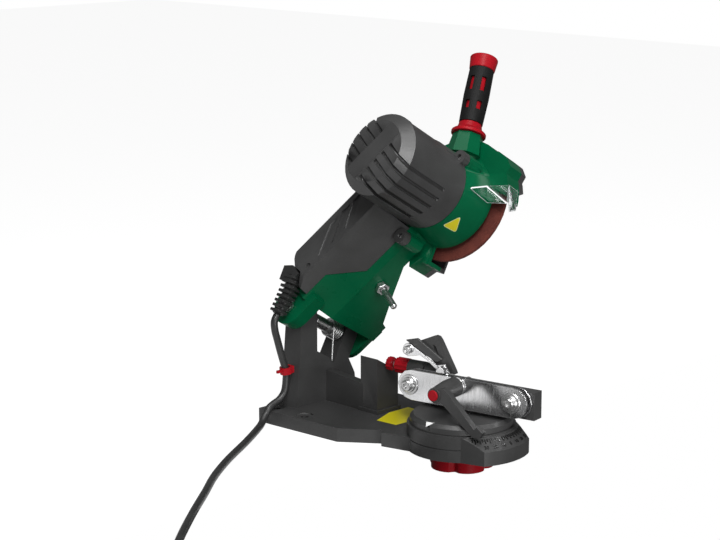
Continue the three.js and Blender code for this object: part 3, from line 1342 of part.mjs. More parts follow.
const cordEnd = cordLine.getPointAt(1);
const cordHeading = cordLine.getTangentAt(1);
function coilCentres() {
  const heading = new THREE.Vector3(cordHeading.x, cordHeading.y, 0).normalize();
  const sideways = new THREE.Vector3(-heading.y, heading.x, 0);
  const laps = coilLoops / 2;
  const outer = coilMiddle + (coilSpacing * laps) / 2;
  const start = cordEnd.clone().addScaledVector(heading, gap);
  const entry = start.clone().addScaledVector(heading, coilTail);
  const hub = entry.clone().addScaledVector(sideways, outer);
  const base = Math.atan2(-sideways.y, -sideways.x);
  const points = [start, start.clone().lerp(entry, 0.5)];
  const steps = coilLoops * coilSteps;
  const inward = (outer - coilMiddle) * 2;
  for (let i = 0; i <= steps; i += 1) {
    const share = i / steps;
    const climbFrom = 0.5 - 0.25 / coilLoops;
    const climb = Math.min(1, Math.max(0, (share - climbFrom) * 2 * coilLoops));
    const radius = outer - inward * (1 - Math.abs(1 - share * 2));
    const angle = base + (Math.PI * 2 * i) / coilSteps;
    points.push(new THREE.Vector3(hub.x + radius * Math.cos(angle), hub.y + radius * Math.sin(angle), start.z + climb * coilSpacing));
  }
  const last = points[points.length - 1];
  const before = points[points.length - 2];
  const away = last.clone().sub(before).setZ(0).normalize();
  points.push(last.clone().addScaledVector(away, plugTail / 2));
  points.push(last.clone().addScaledVector(away, plugTail));
  return points;
}
const coilLine = coilCentres();
console.log('cord_coil least gap to itself, mm:', selfGap(coilLine, cordRadius, coilMiddle).toFixed(2));
place(cordGroup, 'cord_coil', tube(coilLine, coilLine.map(() => cordRadius), coilSides), black);

let cordTotal = cordLine.getLength();
for (let i = 1; i < coilLine.length; i += 1) cordTotal += coilLine[i].distanceTo(coilLine[i - 1]);
console.log('cord length, mm:', cordTotal.toFixed(0));

function makePlug() {
  const floor = coilLine[0].z - coilLine[coilLine.length - 1].z - cordRadius;
  const body = turned([
    [0, gap], [cordRadius * 1.6, gap], [cordRadius * 1.6, plugLength / 3], [plugRadius, plugLength * 0.6], [plugRadius, plugLength], [0, plugLength],
  ], 'x', mediumSides);
  const pins = [-1, 1].map((side) => {
    const pin = disc(pinRadius, plugLength - overrun, plugLength + pinLength, 'x', smallSides);
    return at(pin, 0, side * pinSpacing / 2, 0);
  });
  const bench = block(-plugLength, plugLength * 3, -plugLength, plugLength, floor - plugLength, floor);
  const collar = at(disc(plugRadius, plugLength - overrun, plugLength, 'x', mediumSides), 0, 0, 0);
  const cheeks = block(0, plugLength + pinLength + overrun, -plugFace, plugFace, floor, plugRadius);
  return join(body, collar, ...pins).subtract(bench).intersect(cheeks);
}
const plugGroup = new THREE.Group();
const plugFrom = coilLine[coilLine.length - 1];
const plugHeading = plugFrom.clone().sub(coilLine[coilLine.length - 2]);
plugGroup.position.copy(plugFrom);
plugGroup.rotation.z = Math.atan2(plugHeading.y, plugHeading.x);
cordGroup.add(plugGroup);
place(plugGroup, 'mains_plug', makePlug(), black);

// Cord clip on the column's left side
function makeClip() {
  const share = (clipZ - plateHeight) / (atHead(-columnLeft, -columnShoulder)[1] - plateHeight);
  const faceX = columnRootX + share * (atHead(-columnLeft, -columnShoulder)[0] - columnRootX);
  const along = cordParameter(clipZ - ringHeight);
  const lineX = cordLine.getPointAt(along).x;
  const heading = cordLine.getTangentAt(along);
  const lean = THREE.MathUtils.radToDeg(Math.atan2(heading.x, heading.z));
  const upright = ring(clipRadius, cordRadius + gap * 3, -clipHeight / 2, clipHeight / 2, 'z', smallSides);
  const loop = at(turn(upright, 0, lean, 0), lineX, pivotY, clipZ);
  const bodyInner = cordRadius + gap * 2;
  const foot = block(lineX + bodyInner, faceX - gap, pivotY - clipRadius / 2, pivotY + clipRadius / 2, clipZ - clipHeight / 2, clipZ + clipHeight / 2);
  const tail = block(lineX - clipRadius - clipTail, lineX - bodyInner - gap, pivotY - cordRadius / 3, pivotY + cordRadius / 3, clipZ - gap * 4, clipZ + gap * 4);
  const joined = lineX + bodyInner < faceX - gap ? join(loop, foot, tail) : join(loop, tail);
  const column = block(faceX - gap, faceX + columnLeft, 0, armReach * 2, 0, armReach);
  return joined.subtract(column);
}
function cordParameter(height) {
  let best = 0;
  for (let i = 0; i <= cordSteps; i += 1) {
    const share = (i / cordSteps) * 0.5;
    if (Math.abs(cordLine.getPointAt(share).z - height) < Math.abs(cordLine.getPointAt(best).z - height)) best = share;
  }
  return best;
}
place(baseGroup, 'cord_clip', makeClip(), red);

export default group;
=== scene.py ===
# %% [markdown]
# # Electric chainsaw sharpener
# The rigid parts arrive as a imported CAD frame. This notebook gives them rounded edges, real finishes, the cord,
# the printed marks, and a studio to stand in. Lengths are written in millimetres and turned to metres once.

# %% Load the frame
import json
from math import atan2, radians, cos, sin, sqrt, pi

import bpy
import bmesh
from mathutils import Matrix, Vector
from mathutils.bvhtree import BVHTree


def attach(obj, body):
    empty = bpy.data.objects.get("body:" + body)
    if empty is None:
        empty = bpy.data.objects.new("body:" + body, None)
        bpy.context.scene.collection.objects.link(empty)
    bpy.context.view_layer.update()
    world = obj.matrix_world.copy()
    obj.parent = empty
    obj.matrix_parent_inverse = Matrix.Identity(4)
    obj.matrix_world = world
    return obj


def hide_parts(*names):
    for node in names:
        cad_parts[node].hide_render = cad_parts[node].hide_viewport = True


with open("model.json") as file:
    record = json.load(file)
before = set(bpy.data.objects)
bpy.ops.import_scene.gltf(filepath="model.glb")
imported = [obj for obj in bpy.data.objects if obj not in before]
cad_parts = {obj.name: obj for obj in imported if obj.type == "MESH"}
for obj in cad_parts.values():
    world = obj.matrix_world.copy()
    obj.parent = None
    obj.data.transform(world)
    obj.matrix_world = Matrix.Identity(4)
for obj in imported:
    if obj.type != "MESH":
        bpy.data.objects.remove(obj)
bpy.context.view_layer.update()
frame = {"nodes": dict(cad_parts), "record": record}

# %% [markdown]
# ## Where things are
# The pivot is tilted and the vise is turned, so their details are easier to give in their own directions. Each of
# these frames is a matrix that takes millimetres there to metres here.

# %% The working frames
MM = 1000
table_ahead, table_height, table_turn = -110, 22, -80
pivot_place, pivot_tilt = (5.9, 50, 72.2), 30
METRES = Matrix.Scale(0.001, 4)
TABLE = METRES @ Matrix.Translation((0, table_ahead, table_height)) @ Matrix.Rotation(radians(table_turn), 4, "Z")
PIVOT = METRES @ Matrix.Translation(pivot_place) @ Matrix.Rotation(radians(pivot_tilt), 4, "Y")
BENCH = METRES @ Matrix.Translation((0, table_ahead, 0))
print("pivot, metres:", [round(x, 4) for x in PIVOT.translation])

# %% [markdown]
# ## Camera
# The photograph is taken from the left and a little above with a long lens, so far edges hardly shrink. A 97.5 mm
# lens on a 36 mm sensor, held without roll and looking 12 degrees down, gives the same vanishing.

# %% Make the camera
focal_mm, sensor_mm = 97.5, 36
picture_wide, picture_high = 720, 540
camera_place = (-1.1719, -1.1615, 0.4906)
camera_pitch, camera_heading = 77.84, -45
lens = bpy.data.cameras.new("camera")
lens.lens = focal_mm
lens.sensor_width = sensor_mm
camera = bpy.data.objects.new("camera", lens)
camera.location = camera_place
camera.rotation_euler = (radians(camera_pitch), 0, radians(camera_heading))
bpy.context.collection.objects.link(camera)
bpy.context.scene.camera = camera
bpy.context.view_layer.update()
print("camera at", [round(x, 3) for x in camera.location])

# %% [markdown]
# ## Node helper
# Every finish is a small network. One function adds a node, sets its properties, and fills its sockets with
# either a number or a link. Two more build on it: one stretches a noise to a range, the other mixes two colours.

# %% Colour and node helpers
def paint(code):
    """sRGB hex to the linear colour that a shader wants."""
    parts = [int(code[i:i + 2], 16) / 255 for i in (1, 3, 5)]
    return (*[c / 12.92 if c <= 0.04045 else ((c + 0.055) / 1.055) ** 2.4 for c in parts], 1)


def add(tree, kind, sockets=None, **settings):
    made = tree.nodes.new("ShaderNode" + kind)
    for name, value in settings.items():
        setattr(made, name, value)
    for name, value in (sockets or {}).items():
        if isinstance(value, bpy.types.NodeSocket):
            tree.links.new(value, made.inputs[name])
        else:
            made.inputs[name].default_value = value
    return made


def noise(tree, place, scale, **sockets):
    settings = {name.capitalize(): value for name, value in sockets.items()}
    return add(tree, "TexNoise", {"Vector": place, "Scale": scale, **settings}).outputs["Fac"]


def spread(tree, value, low, high, to_low=0.0, to_high=1.0):
    """Stretch a value from one range to another, cut off at the ends."""
    sockets = {"Value": value, "From Min": low, "From Max": high, "To Min": to_low, "To Max": to_high}
    return add(tree, "MapRange", sockets).outputs[0]


def blend(tree, factor, first, second):
    """Mix two colours, each of them a hex code or a link."""
    ends = [paint(end) if isinstance(end, str) else end for end in (first, second)]
    return add(tree, "Mix", {"Factor": factor, 6: ends[0], 7: ends[1]}, data_type="RGBA").outputs[2]


def new_finish(name):
    finish = bpy.data.materials.new(name)
    finish.use_nodes = True
    finish.node_tree.nodes.clear()
    tree = finish.node_tree
    place = add(tree, "TexCoord").outputs["Object"]
    return finish, tree, place


def close_finish(tree, shader):
    add(tree, "OutputMaterial", {"Surface": shader.outputs[0]})


print("dark plastic, linear:", [round(c, 3) for c in paint("#484848")])

# %% [markdown]
# ## Moulded plastic
# The castings and covers are glass-filled nylon and ABS from spark-eroded moulds: a fine even grain that breaks
# up the highlight, with slow changes of tone from handling and dust. Grain is about 0.3 mm; it is drawn at 0.8 mm
# so that it shows at this size. Two noises do it: a fine one for bump and speckle, a slow one for tone and
# roughness.

# %% Plastic finishes
def moulded(name, deep, pale, rough, grain_mm, bump, specular=0.5):
    finish, tree, place = new_finish(name)
    grain = noise(tree, place, MM / grain_mm, detail=3.0, roughness=0.6)
    cloud = noise(tree, place, 22.0, detail=4.0, roughness=0.55)
    tone, speckle = spread(tree, cloud, 0.3, 0.7), spread(tree, grain, 0.2, 0.8, -0.25, 0.25)
    both = add(tree, "Math", {0: tone, 1: speckle}, operation="ADD", use_clamp=True)
    relief = add(tree, "Bump", {"Height": grain, "Strength": bump, "Distance": 0.00025})
    shader = add(tree, "BsdfPrincipled", {
        "Base Color": blend(tree, both.outputs[0], deep, pale), "IOR": 1.5, "Specular IOR Level": specular,
        "Roughness": spread(tree, cloud, 0.3, 0.7, rough - 0.05, rough + 0.06), "Normal": relief.outputs[0],
    })
    close_finish(tree, shader)
    return finish


nylon = moulded("glass_filled_nylon", "#2f2f2f", "#3b3b3b", 0.4, 0.8, 0.35, specular=0.5)
casting = moulded("moulded_base_nylon", "#2d2d2d", "#393939", 0.48, 0.9, 0.4, specular=0.4)
green_abs = moulded("glossy_green_abs", "#004a2d", "#005233", 0.3, 1.6, 0.06, specular=0.16)
red_abs = moulded("glossy_red_abs", "#880e18", "#9a141e", 0.36, 1.4, 0.08, specular=0.1)
rubber = moulded("soft_black_rubber", "#101010", "#191919", 0.6, 0.7, 0.5, specular=0.14)
pvc = moulded("cable_pvc", "#1d1d1d", "#292929", 0.42, 1.0, 0.15)
print("plastics:", [m.name for m in (nylon, casting, green_abs, red_abs, rubber, pvc)])

# %% [markdown]
# ## Metals
# Jaws, screws and the spring are zinc-plated or polished steel. A metal has no base tone of its own, only
# reflection, so its life is in the fine lines of grinding: a noise stretched along one direction gives the bump
# and the changes of roughness.

# %% Metal finishes
def ground_metal(name, deep, pale, rough, along, line_mm, bump):
    finish, tree, place = new_finish(name)
    stretch = add(tree, "Mapping", {"Vector": place, "Scale": along})
    lines = noise(tree, stretch.outputs[0], MM / line_mm, detail=2.0)
    cloud = noise(tree, place, 60.0, detail=3.0)
    relief = add(tree, "Bump", {"Height": lines, "Strength": bump, "Distance": 0.00008})
    shader = add(tree, "BsdfPrincipled", {
        "Base Color": blend(tree, cloud, deep, pale), "Metallic": 1.0,
        "Roughness": spread(tree, lines, 0.3, 0.7, rough - 0.05, rough + 0.08), "Normal": relief.outputs[0],
    })
    close_finish(tree, shader)
    return finish


polished = ground_metal("polished_jaw_steel", "#dcdcde", "#f0f0f0", 0.2, (1, 1, 0.06), 0.9, 0.04)
zinc = ground_metal("zinc_plated_steel", "#bdbdbd", "#dcdcdc", 0.3, (1, 1, 1), 1.2, 0.08)
laminate = ground_metal("stacked_motor_laminate", "#5a5a5c", "#77777a", 0.5, (1, 1, 1), 0.6, 0.6)
copper = ground_metal("enamelled_copper_winding", "#8d4a1f", "#b9703a", 0.35, (0.2, 1, 1), 1.1, 0.8)
carbon = moulded("pressed_carbon", "#121212", "#1e1e1e", 0.7, 0.6, 0.5)
print("metals:", [m.name for m in (polished, zinc, laminate, copper)])

# %% [markdown]
# ## Grinding wheel and clear shield
# The wheel is red-brown aluminium oxide in resin, with grit that shows as light and dark specks; real grit is
# about 0.2 mm, drawn at 0.7 mm. The shield is clear polycarbonate, thin and a little scratched.

# %% Abrasive and clear finishes
def abrasive():
    finish, tree, place = new_finish("aluminium_oxide_wheel")
    grit = add(tree, "TexVoronoi", {"Vector": place, "Scale": 1400.0}).outputs["Distance"]
    cloud = noise(tree, place, 90.0, detail=5.0)
    grains = blend(tree, grit, "#60251a", "#48180f")
    worn = blend(tree, spread(tree, cloud, 0.45, 0.75, 0.0, 0.35), grains, "#783828")
    relief = add(tree, "Bump", {"Height": grit, "Strength": 0.7, "Distance": 0.0003})
    shader = add(tree, "BsdfPrincipled", {"Base Color": worn, "Roughness": 0.88, "Normal": relief.outputs[0]})
    close_finish(tree, shader)
    return finish


def clear_plastic():
    finish, tree, place = new_finish("clear_polycarbonate")
    haze = noise(tree, place, 160.0, detail=4.0)
    shader = add(tree, "BsdfPrincipled", {
        "Base Color": paint("#eef3f3"), "Roughness": spread(tree, haze, 0.4, 0.8, 0.03, 0.14), "IOR": 1.58,
        "Transmission Weight": 1.0,
    })
    close_finish(tree, shader)
    return finish


wheel_grit = abrasive()
polycarbonate = clear_plastic()
# Painted highlight: an opaque pale finish for the shield's cut edges, in place of the light that leaves them.
painted_edge_light = moulded("painted_shield_edge_light", "#e6eaea", "#f7f9f9", 0.3, 0.9, 0.2)
yellow_print = moulded("yellow_printed_film", "#b9ae10", "#c9be1a", 0.45, 1.2, 0.05)
border_print = moulded("pale_label_border", "#c3cf9a", "#d5deb0", 0.45, 1.2, 0.05)
# Painted shade: a black darker than the fan's, for the scale's grooves and the pointer's notch.
recess_shade_black = moulded("painted_recess_shade_black", "#080808", "#131313", 0.22, 1.0, 0.2)
white_print = moulded("white_pad_print", "#d9d9d9", "#eeeeee", 0.5, 1.0, 0.05)
print("wheel and prints ready")

# %% [markdown]
# ## Rounding the CAD pieces
# A moulded or machined edge is never a knife edge: it carries a small radius that catches light. The CAD mesh is
# loose triangles, so a copy is welded, its flat faces are rejoined, and its sharp edges are bevelled. The copy
# then stands for the node. In the five pieces with slots and bosses a bevel on every sharp edge would tear the
# inner corners, so only the edges that can take one are marked for it.

# %% Refine a CAD node
SLOTTED = ("motor_housing", "arm_frame", "base_body", "turntable", "guard_cover")
WELD = 2e-6
bevel_steps, bevel_from, smooth_below, flat_within, long_edge_mm = 2, 28, 40, 0.6, 12.0


def body_of_node(node):
    for body, members in frame["record"]["behaviour"]["bodies"].items():
        if node in members:
            return body


def adopt(mesh, name, finish, body, *nodes):
    piece = bpy.data.objects.new(name, mesh)
    bpy.context.collection.objects.link(piece)
    if finish:
        mesh.materials.clear()
        mesh.materials.append(finish)
    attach(piece, body)
    if nodes:
        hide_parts(*nodes)
    return piece


def mesh_of(shape, name, smooth=True):
    for face in shape.faces:
        face.smooth = smooth
    mesh = bpy.data.meshes.new(name)
    shape.to_mesh(mesh)
    shape.free()
    return mesh


def weigh_edges(shape):
    """Mark the convex edges that can be rounded: the long ones, and those that touch no inner corner."""
    weight = shape.edges.layers.float.new("bevel_weight_edge")
    crease = radians(bevel_from)
    bent = {e: e.calc_face_angle_signed(0.0) for e in shape.edges if len(e.link_faces) == 2}
    for edge, angle in bent.items():
        ends_free = all(bent.get(near, 0.0) > -crease for vertex in edge.verts for near in vertex.link_edges)
        if angle > crease and (ends_free or edge.calc_length() > long_edge_mm / MM):
            edge[weight] = 1.0


def rounded(node, name, finish, edge_mm):
    source = frame["nodes"][node]
    shape = bmesh.new()
    shape.from_mesh(source.data)
    bmesh.ops.remove_doubles(shape, verts=shape.verts, dist=WELD)
    bmesh.ops.dissolve_degenerate(shape, edges=shape.edges, dist=WELD)
    bmesh.ops.dissolve_limit(shape, angle_limit=radians(flat_within), verts=shape.verts, edges=shape.edges)
    if node in SLOTTED:
        weigh_edges(shape)
    mesh = mesh_of(shape, name)
    piece = adopt(mesh, name, finish, body_of_node(node), node)
    if edge_mm:
        edge = piece.modifiers.new("edge", "BEVEL")
        edge.width = edge_mm / MM
        edge.segments = bevel_steps
        edge.limit_method = "WEIGHT" if node in SLOTTED else "ANGLE"
        edge.angle_limit = radians(bevel_from)
        edge.use_clamp_overlap = True
        edge.miter_outer = "MITER_ARC"
    flat = piece.modifiers.new("flat", "WEIGHTED_NORMAL")
    flat.keep_sharp = True
    mesh.set_sharp_from_angle(angle=radians(smooth_below))
    return piece


# %% Round every visible piece
pieces = [
    ("base_body", "base_casting", casting, 1.0), ("cord_clip", "cord_clip_moulding", red_abs, 0.4),
    ("pivot_shaft", "pivot_shaft_steel", zinc, 0.5), ("pivot_bolt_head", "pivot_bolt_steel", zinc, 0.4),
    ("pivot_nut", "pivot_nut_steel", zinc, 0.4),
    ("arm_frame", "green_arm_frame", green_abs, 0.8), ("motor_housing", "motor_and_arm_cover", nylon, 0.6),
    ("guard_cover", "wheel_guard_cover", nylon, 0.8), ("handle_core", "red_handle_core", red_abs, 0.5),
    ("handle_grip", "rubber_handle_grip", rubber, 0.4), ("switch_body", "switch_housing", rubber, 0.4),
    ("switch_rocker", "switch_rocker_cap", red_abs, 0.4), ("strain_relief", "strain_relief_sleeve", pvc, 0.4),
    ("depth_nut", "depth_stop_nut", zinc, 0.4), ("depth_screw", "depth_stop_screw", zinc, 0.3),
    ("grinding_wheel", "grinding_wheel_disc", wheel_grit, 0.3), ("inner_flange", "inner_flange_steel", zinc, 0.3),
    ("outer_flange", "outer_flange_steel", zinc, 0.3), ("wheel_nut", "wheel_nut_steel", zinc, 0.5),
    ("turntable", "vise_turntable", nylon, 0.7), ("rear_jaw", "rear_jaw_plate", polished, 0.3),
    ("front_jaw", "front_jaw_plate", polished, 0.4), ("clamp_stud", "clamp_stud_steel", zinc, 0.4),
    ("clamp_washer", "clamp_washer_steel", zinc, 0.3), ("lock_stud", "lock_stud_steel", zinc, 0.3),
    ("lock_knob", "lock_knob_moulding", red_abs, 1.2), ("lock_knob_insert", "lock_knob_brass", zinc, 0.3),
    ("clamp_lever", "clamp_lever_moulding", nylon, 0.9), ("clamp_lever_cap", "clamp_lever_disc", red_abs, 0.5),
    ("stop_bracket", "chain_stop_bracket", nylon, 0.6), ("stop_rod", "chain_stop_rod", zinc, 0.4),
    ("stop_end_knob", "chain_stop_end_knob", red_abs, 0.4), ("stop_adjuster", "chain_stop_adjuster", red_abs, 0.4),
    ("pawl_screw", "pawl_pivot_screw", zinc, 0.4), ("stop_pawl", "stop_pawl_plate", polished, 0.2),
    ("pawl_lever", "pawl_lever_moulding", nylon, 0.5), ("eye_shield", "eye_shield_plate", polycarbonate, 0),
]
made = {node: rounded(node, name, finish, edge) for node, name, finish, edge in pieces}
print("rounded pieces:", len(made))

# %% [markdown]
# ## Light in the shield's edges
# Clear sheet carries light inside it and lets it out where it is cut, so the edges look white while the faces
# are hardly seen. The narrow faces of each plate therefore get an opaque pale finish: a painted highlight that
# stands in for that light.

# %% Painted light on the shield's edges
shield = made["eye_shield"].data
shield.materials.append(painted_edge_light)
sheet_mm = 1.9
narrow = 0
for face in shield.polygons:
    longest = max((shield.vertices[a].co - shield.vertices[b].co).length for a, b in face.edge_keys)
    if face.area / longest < sheet_mm / MM:
        face.material_index = 1
        narrow += 1
print("shield faces:", len(shield.polygons), "narrow:", narrow)

# %% [markdown]
# ## Square ribs of the cord sleeve
# The sleeve that keeps the lead from kinking is a rubber moulding with square plates along it, so that it bends
# evenly. The CAD sleeve swells at each rib; a bevelled plate is set round each swelling, a little smaller each
# time.

# %% The ribs
def slab(shape, place, size, edge=0.0):
    """A bevelled block of the given size in mm, put at place."""
    cube = bmesh.ops.create_cube(shape, size=1.0)
    bmesh.ops.scale(shape, vec=size, verts=cube["verts"])
    if edge:
        rim = {e for v in cube["verts"] for e in v.link_edges}
        cube = bmesh.ops.bevel(shape, geom=list(rim), offset=edge, segments=2, profile=0.5, affect="EDGES",
                               material=-1)
    bmesh.ops.transform(shape, matrix=place, verts=cube["verts"])


turned_smooth_below = 35


def close_shape(shape, name, finish, body, *nodes):
    bmesh.ops.recalc_face_normals(shape, faces=shape.faces)
    mesh = mesh_of(shape, name)
    mesh.set_sharp_from_angle(angle=radians(turned_smooth_below))
    return adopt(mesh, name, finish, body, *nodes)


rib_first, rib_pitch, rib_count = 22.0, 4.45, 8
rib_half, rib_taper, rib_depth_share, rib_thick, rib_edge = 7.0, 0.17, 1.8, 2.5, 0.35
sleeve_across, sleeve_lean, sleeve_foot, sleeve_rise = -72.4, 5, 12.2, 36.2
shape = bmesh.new()
for i in range(rib_count):
    half_width = rib_half - rib_taper * i
    lift = rib_first - rib_pitch * i
    ahead = -sleeve_lean * sqrt((lift + sleeve_foot) / sleeve_rise)
    place = PIVOT @ Matrix.Translation((sleeve_across, ahead, lift))
    slab(shape, place, (half_width * 2, half_width * rib_depth_share, rib_thick), rib_edge)
close_shape(shape, "cord_sleeve_ribs", pvc, body_of_node("strain_relief"))
print("ribs on the sleeve:", rib_count)

# %% [markdown]
# ## Screws in the jaws
# Each jaw is held by a shoulder screw: a wide washer face, a collar, and a round head with a socket. All three are
# turned, so a profile is spun once round the screw's axis.

# %% Turn the two screws
lathe_steps, lathe_weld = 40, 1e-4


def lathe(profile, place):
    """Spin a profile of (radius, height) pairs round Z, then put it at place."""
    shape = bmesh.new()
    line = [shape.verts.new((radius, 0, height)) for radius, height in profile]
    edges = [shape.edges.new(pair) for pair in zip(line, line[1:])]
    bmesh.ops.spin(shape, geom=line + edges, cent=(0, 0, 0), axis=(0, 0, 1), angle=2 * pi, steps=lathe_steps,
                   use_merge=True, use_duplicate=False)
    bmesh.ops.remove_doubles(shape, verts=shape.verts, dist=lathe_weld)
    bmesh.ops.transform(shape, matrix=place, verts=shape.verts)
    return shape


screw_profile = [
    (0, -16), (3.6, -16), (3.6, 0), (8.4, 0), (8.7, 0.3), (8.7, 0.9), (8.4, 1.2), (6.6, 1.2), (6.4, 1.5),
    (6.4, 2.6), (6.1, 2.9), (5.0, 2.9), (4.8, 3.1), (4.8, 5.4), (4.3, 6.1), (3.4, 6.4), (2.3, 6.4), (2.3, 4.4), (0, 4.4),
]
screws = {"jaw_screw_left": -50, "jaw_screw_right": 50}
screw_lift = 25
jaw_front = min((TABLE.inverted() @ v.co).y for v in frame["nodes"]["front_jaw"].data.vertices)
for node, along in screws.items():
    place = TABLE @ Matrix.Translation((along, jaw_front, screw_lift)) @ Matrix.Rotation(radians(90), 4, "X")
    shape = lathe(screw_profile, place)
    close_shape(shape, "turned_" + node, zinc, body_of_node(node), node)
print("turned screws:", len(screws))

# %% [markdown]
# ## Return spring
# The spring is wound close from hard wire round the pivot's sleeve. One leg presses into the column's notch and
# the other stands against the arm. A curve through the winding's points, with a round section, draws it far more
# smoothly than the CAD solid; it is made a mesh so that it exports as one piece.

# %% Wind the spring
def meshed(curve):
    """The mesh of a curve or a text; the object that carried it is taken away again."""
    holder = bpy.data.objects.new(curve.name, curve)
    bpy.context.collection.objects.link(holder)
    bpy.context.view_layer.update()
    mesh = bpy.data.meshes.new_from_object(holder.evaluated_get(bpy.context.evaluated_depsgraph_get()))
    bpy.data.objects.remove(holder)
    return mesh


def wound(name, points, wire_mm, finish, body, *nodes):
    path = bpy.data.curves.new(name, "CURVE")
    path.dimensions = "3D"
    path.bevel_depth = wire_mm / 2 / MM
    path.bevel_resolution = 3
    path.use_fill_caps = True
    run = path.splines.new("POLY")
    run.points.add(len(points) - 1)
    for knot, point in zip(run.points, points):
        knot.co = (*point, 1)
    mesh = meshed(path)
    mesh.shade_smooth()
    return adopt(mesh, name, finish, body, *nodes)


spring_box = [PIVOT.inverted() @ v.co for v in frame["nodes"]["return_spring"].data.vertices]
spring_tip = min(spring_box, key=lambda v: v.z)
winding_turns, winding_radius, winding_start, winding_pitch = 5.25, 7.7, -8.0, 2.45
winding_steps, winding_wire = 28, 1.6
winding = [PIVOT @ spring_tip]
for i in range(int(winding_turns * winding_steps) + 1):
    share = i / winding_steps
    angle = pi - 2 * pi * share
    across = winding_start + winding_pitch * share
    winding.append(PIVOT @ Vector((across, winding_radius * cos(angle), winding_radius * sin(angle))))
wound("wound_return_spring", winding, winding_wire, zinc, "base", "return_spring")
print("spring points:", len(winding), "tip:", [round(x, 1) for x in spring_tip])

# %% [markdown]
# ## Angle scale
# The fan in front of the turntable carries an angle scale: raised ticks and figures, in a glossier black that
# catches the light. Their black is darker than the fan's: painted shade that stands in for the scale's grooves.
# Ticks are small blocks on the sloping face; figures are text, raised a little and made a mesh before they are
# put in place.

# %% Ticks and figures
fan_drop, fan_run, fan_top, fan_radius = 9.0, 11.4, 21, 46.6
slope = atan2(fan_drop, fan_run)


def on_scale(angle, radius):
    """A place on the scale's sloping face: X along the ticks' row, Y inwards, Z out of the face."""
    height = fan_top - (radius - fan_radius) * fan_drop / fan_run
    spot_on = BENCH @ Matrix.Rotation(radians(angle), 4, "Z") @ Matrix.Translation((0, -radius, height))
    return spot_on @ Matrix.Rotation(slope, 4, "X")


shape = bmesh.new()
tick_step, tick_radius, tick_wide, tick_thick, long_reach, short_reach = 2.5, 47.6, 0.95, 0.9, 4.2, 2.6
figure_size, figure_raised, figure_radius, figure_spread = 4.4, 0.4, 54.6, 0.86
for i in range(-15, 16):
    reach = long_reach if i % 2 == 0 else short_reach
    slab(shape, on_scale(i * tick_step, tick_radius + reach / 2), (tick_wide, reach, tick_thick))
for figure in range(-30, 31, 10):
    words = bpy.data.curves.new("figure", "FONT")
    words.body = str(abs(figure))
    words.size = figure_size
    words.extrude = figure_raised
    words.align_x, words.align_y = "CENTER", "CENTER"
    flat = meshed(words)
    flat.transform(on_scale(figure * figure_spread, figure_radius))
    shape.from_mesh(flat)
close_shape(shape, "raised_angle_scale", recess_shade_black, "base")
print("ticks and figures in place")

# %% [markdown]
# ## Parts inside the motor
# Windings, bearings, brushes and fan are hidden, but they are there when the housing is taken off, so the CAD
# nodes stay and get real finishes.

# %% Finish the inner nodes
inner = {
    "motor_shaft": zinc, "front_bearing": zinc, "rear_bearing": zinc, "rotor": laminate, "stator": copper,
    "commutator": copper, "cooling_fan": nylon, "brush_holder_upper": nylon, "brush_holder_lower": nylon,
    "brush_upper": carbon, "brush_lower": carbon, "housing_screw_upper": zinc, "housing_screw_lower": zinc,
    "handle_bolt": zinc,
}
for node, finish in inner.items():
    mesh = frame["nodes"][node].data
    mesh.materials.clear()
    mesh.materials.append(finish)
print("inner nodes:", len(inner))

# %% [markdown]
# ## Supply cord
# The lead leaves its sleeve at the pivot, drops down the side of the column through the clip, and runs away over
# the bench. What the photograph leaves out is wound up beyond the frame's edge. A smooth curve through the
# route's points, with a round section, is a cord; its handles follow the same rule as the CAD route.

# %% The route
cord_route = [
    (-61.9, 160, 75.3), (-65.1, 160, 69.8), (-64.6, 160, 62), (-61.9, 160, 53), (-57.8, 160, 40), (-54, 160, 29),
    (-52, 160, 22.5), (-51.9, 160, 15.5), (-54.2, 160, 4.5), (-59.5, 160.5, -1.4), (-65.5, 161, -4),
    (-71.6, 161, -6.9), (-76, 161, -12.4), (-83, 158, -17.6), (-96, 149.5, -18.7), (-126, 130, -18.7), (-172, 102, -18.7),
    (-206.6, 78, -18.7), (-237.4, 53, -18.7), (-280, 19, -18.7), (-330, -24, -18.7), (-370, -64, -18.7),
    (-404, -104, -18.7),
]
route = [Vector((x, y + table_ahead, z + table_height)) for x, y, z in cord_route]


def route_handles(points):
    """Left and right handle at each point, from steps weighted by the root of their length."""
    padded = [points[0] * 2 - points[1], *points, points[-1] * 2 - points[-2]]
    lefts, rights = [], []
    for i, point in enumerate(points):
        before, after = padded[i], padded[i + 2]
        back, ahead = (point - before).length ** 0.5, (after - point).length ** 0.5
        pull = (point - before) / back - (after - before) / (back + ahead) + (after - point) / ahead
        lefts.append(point - pull * back / 3)
        rights.append(point + pull * ahead / 3)
    return lefts, rights


lefts, rights = route_handles(route)
run_out = (rights[-1] - lefts[-1]).normalized()
print("free points:", len(route), "last heading:", [round(x, 3) for x in run_out])

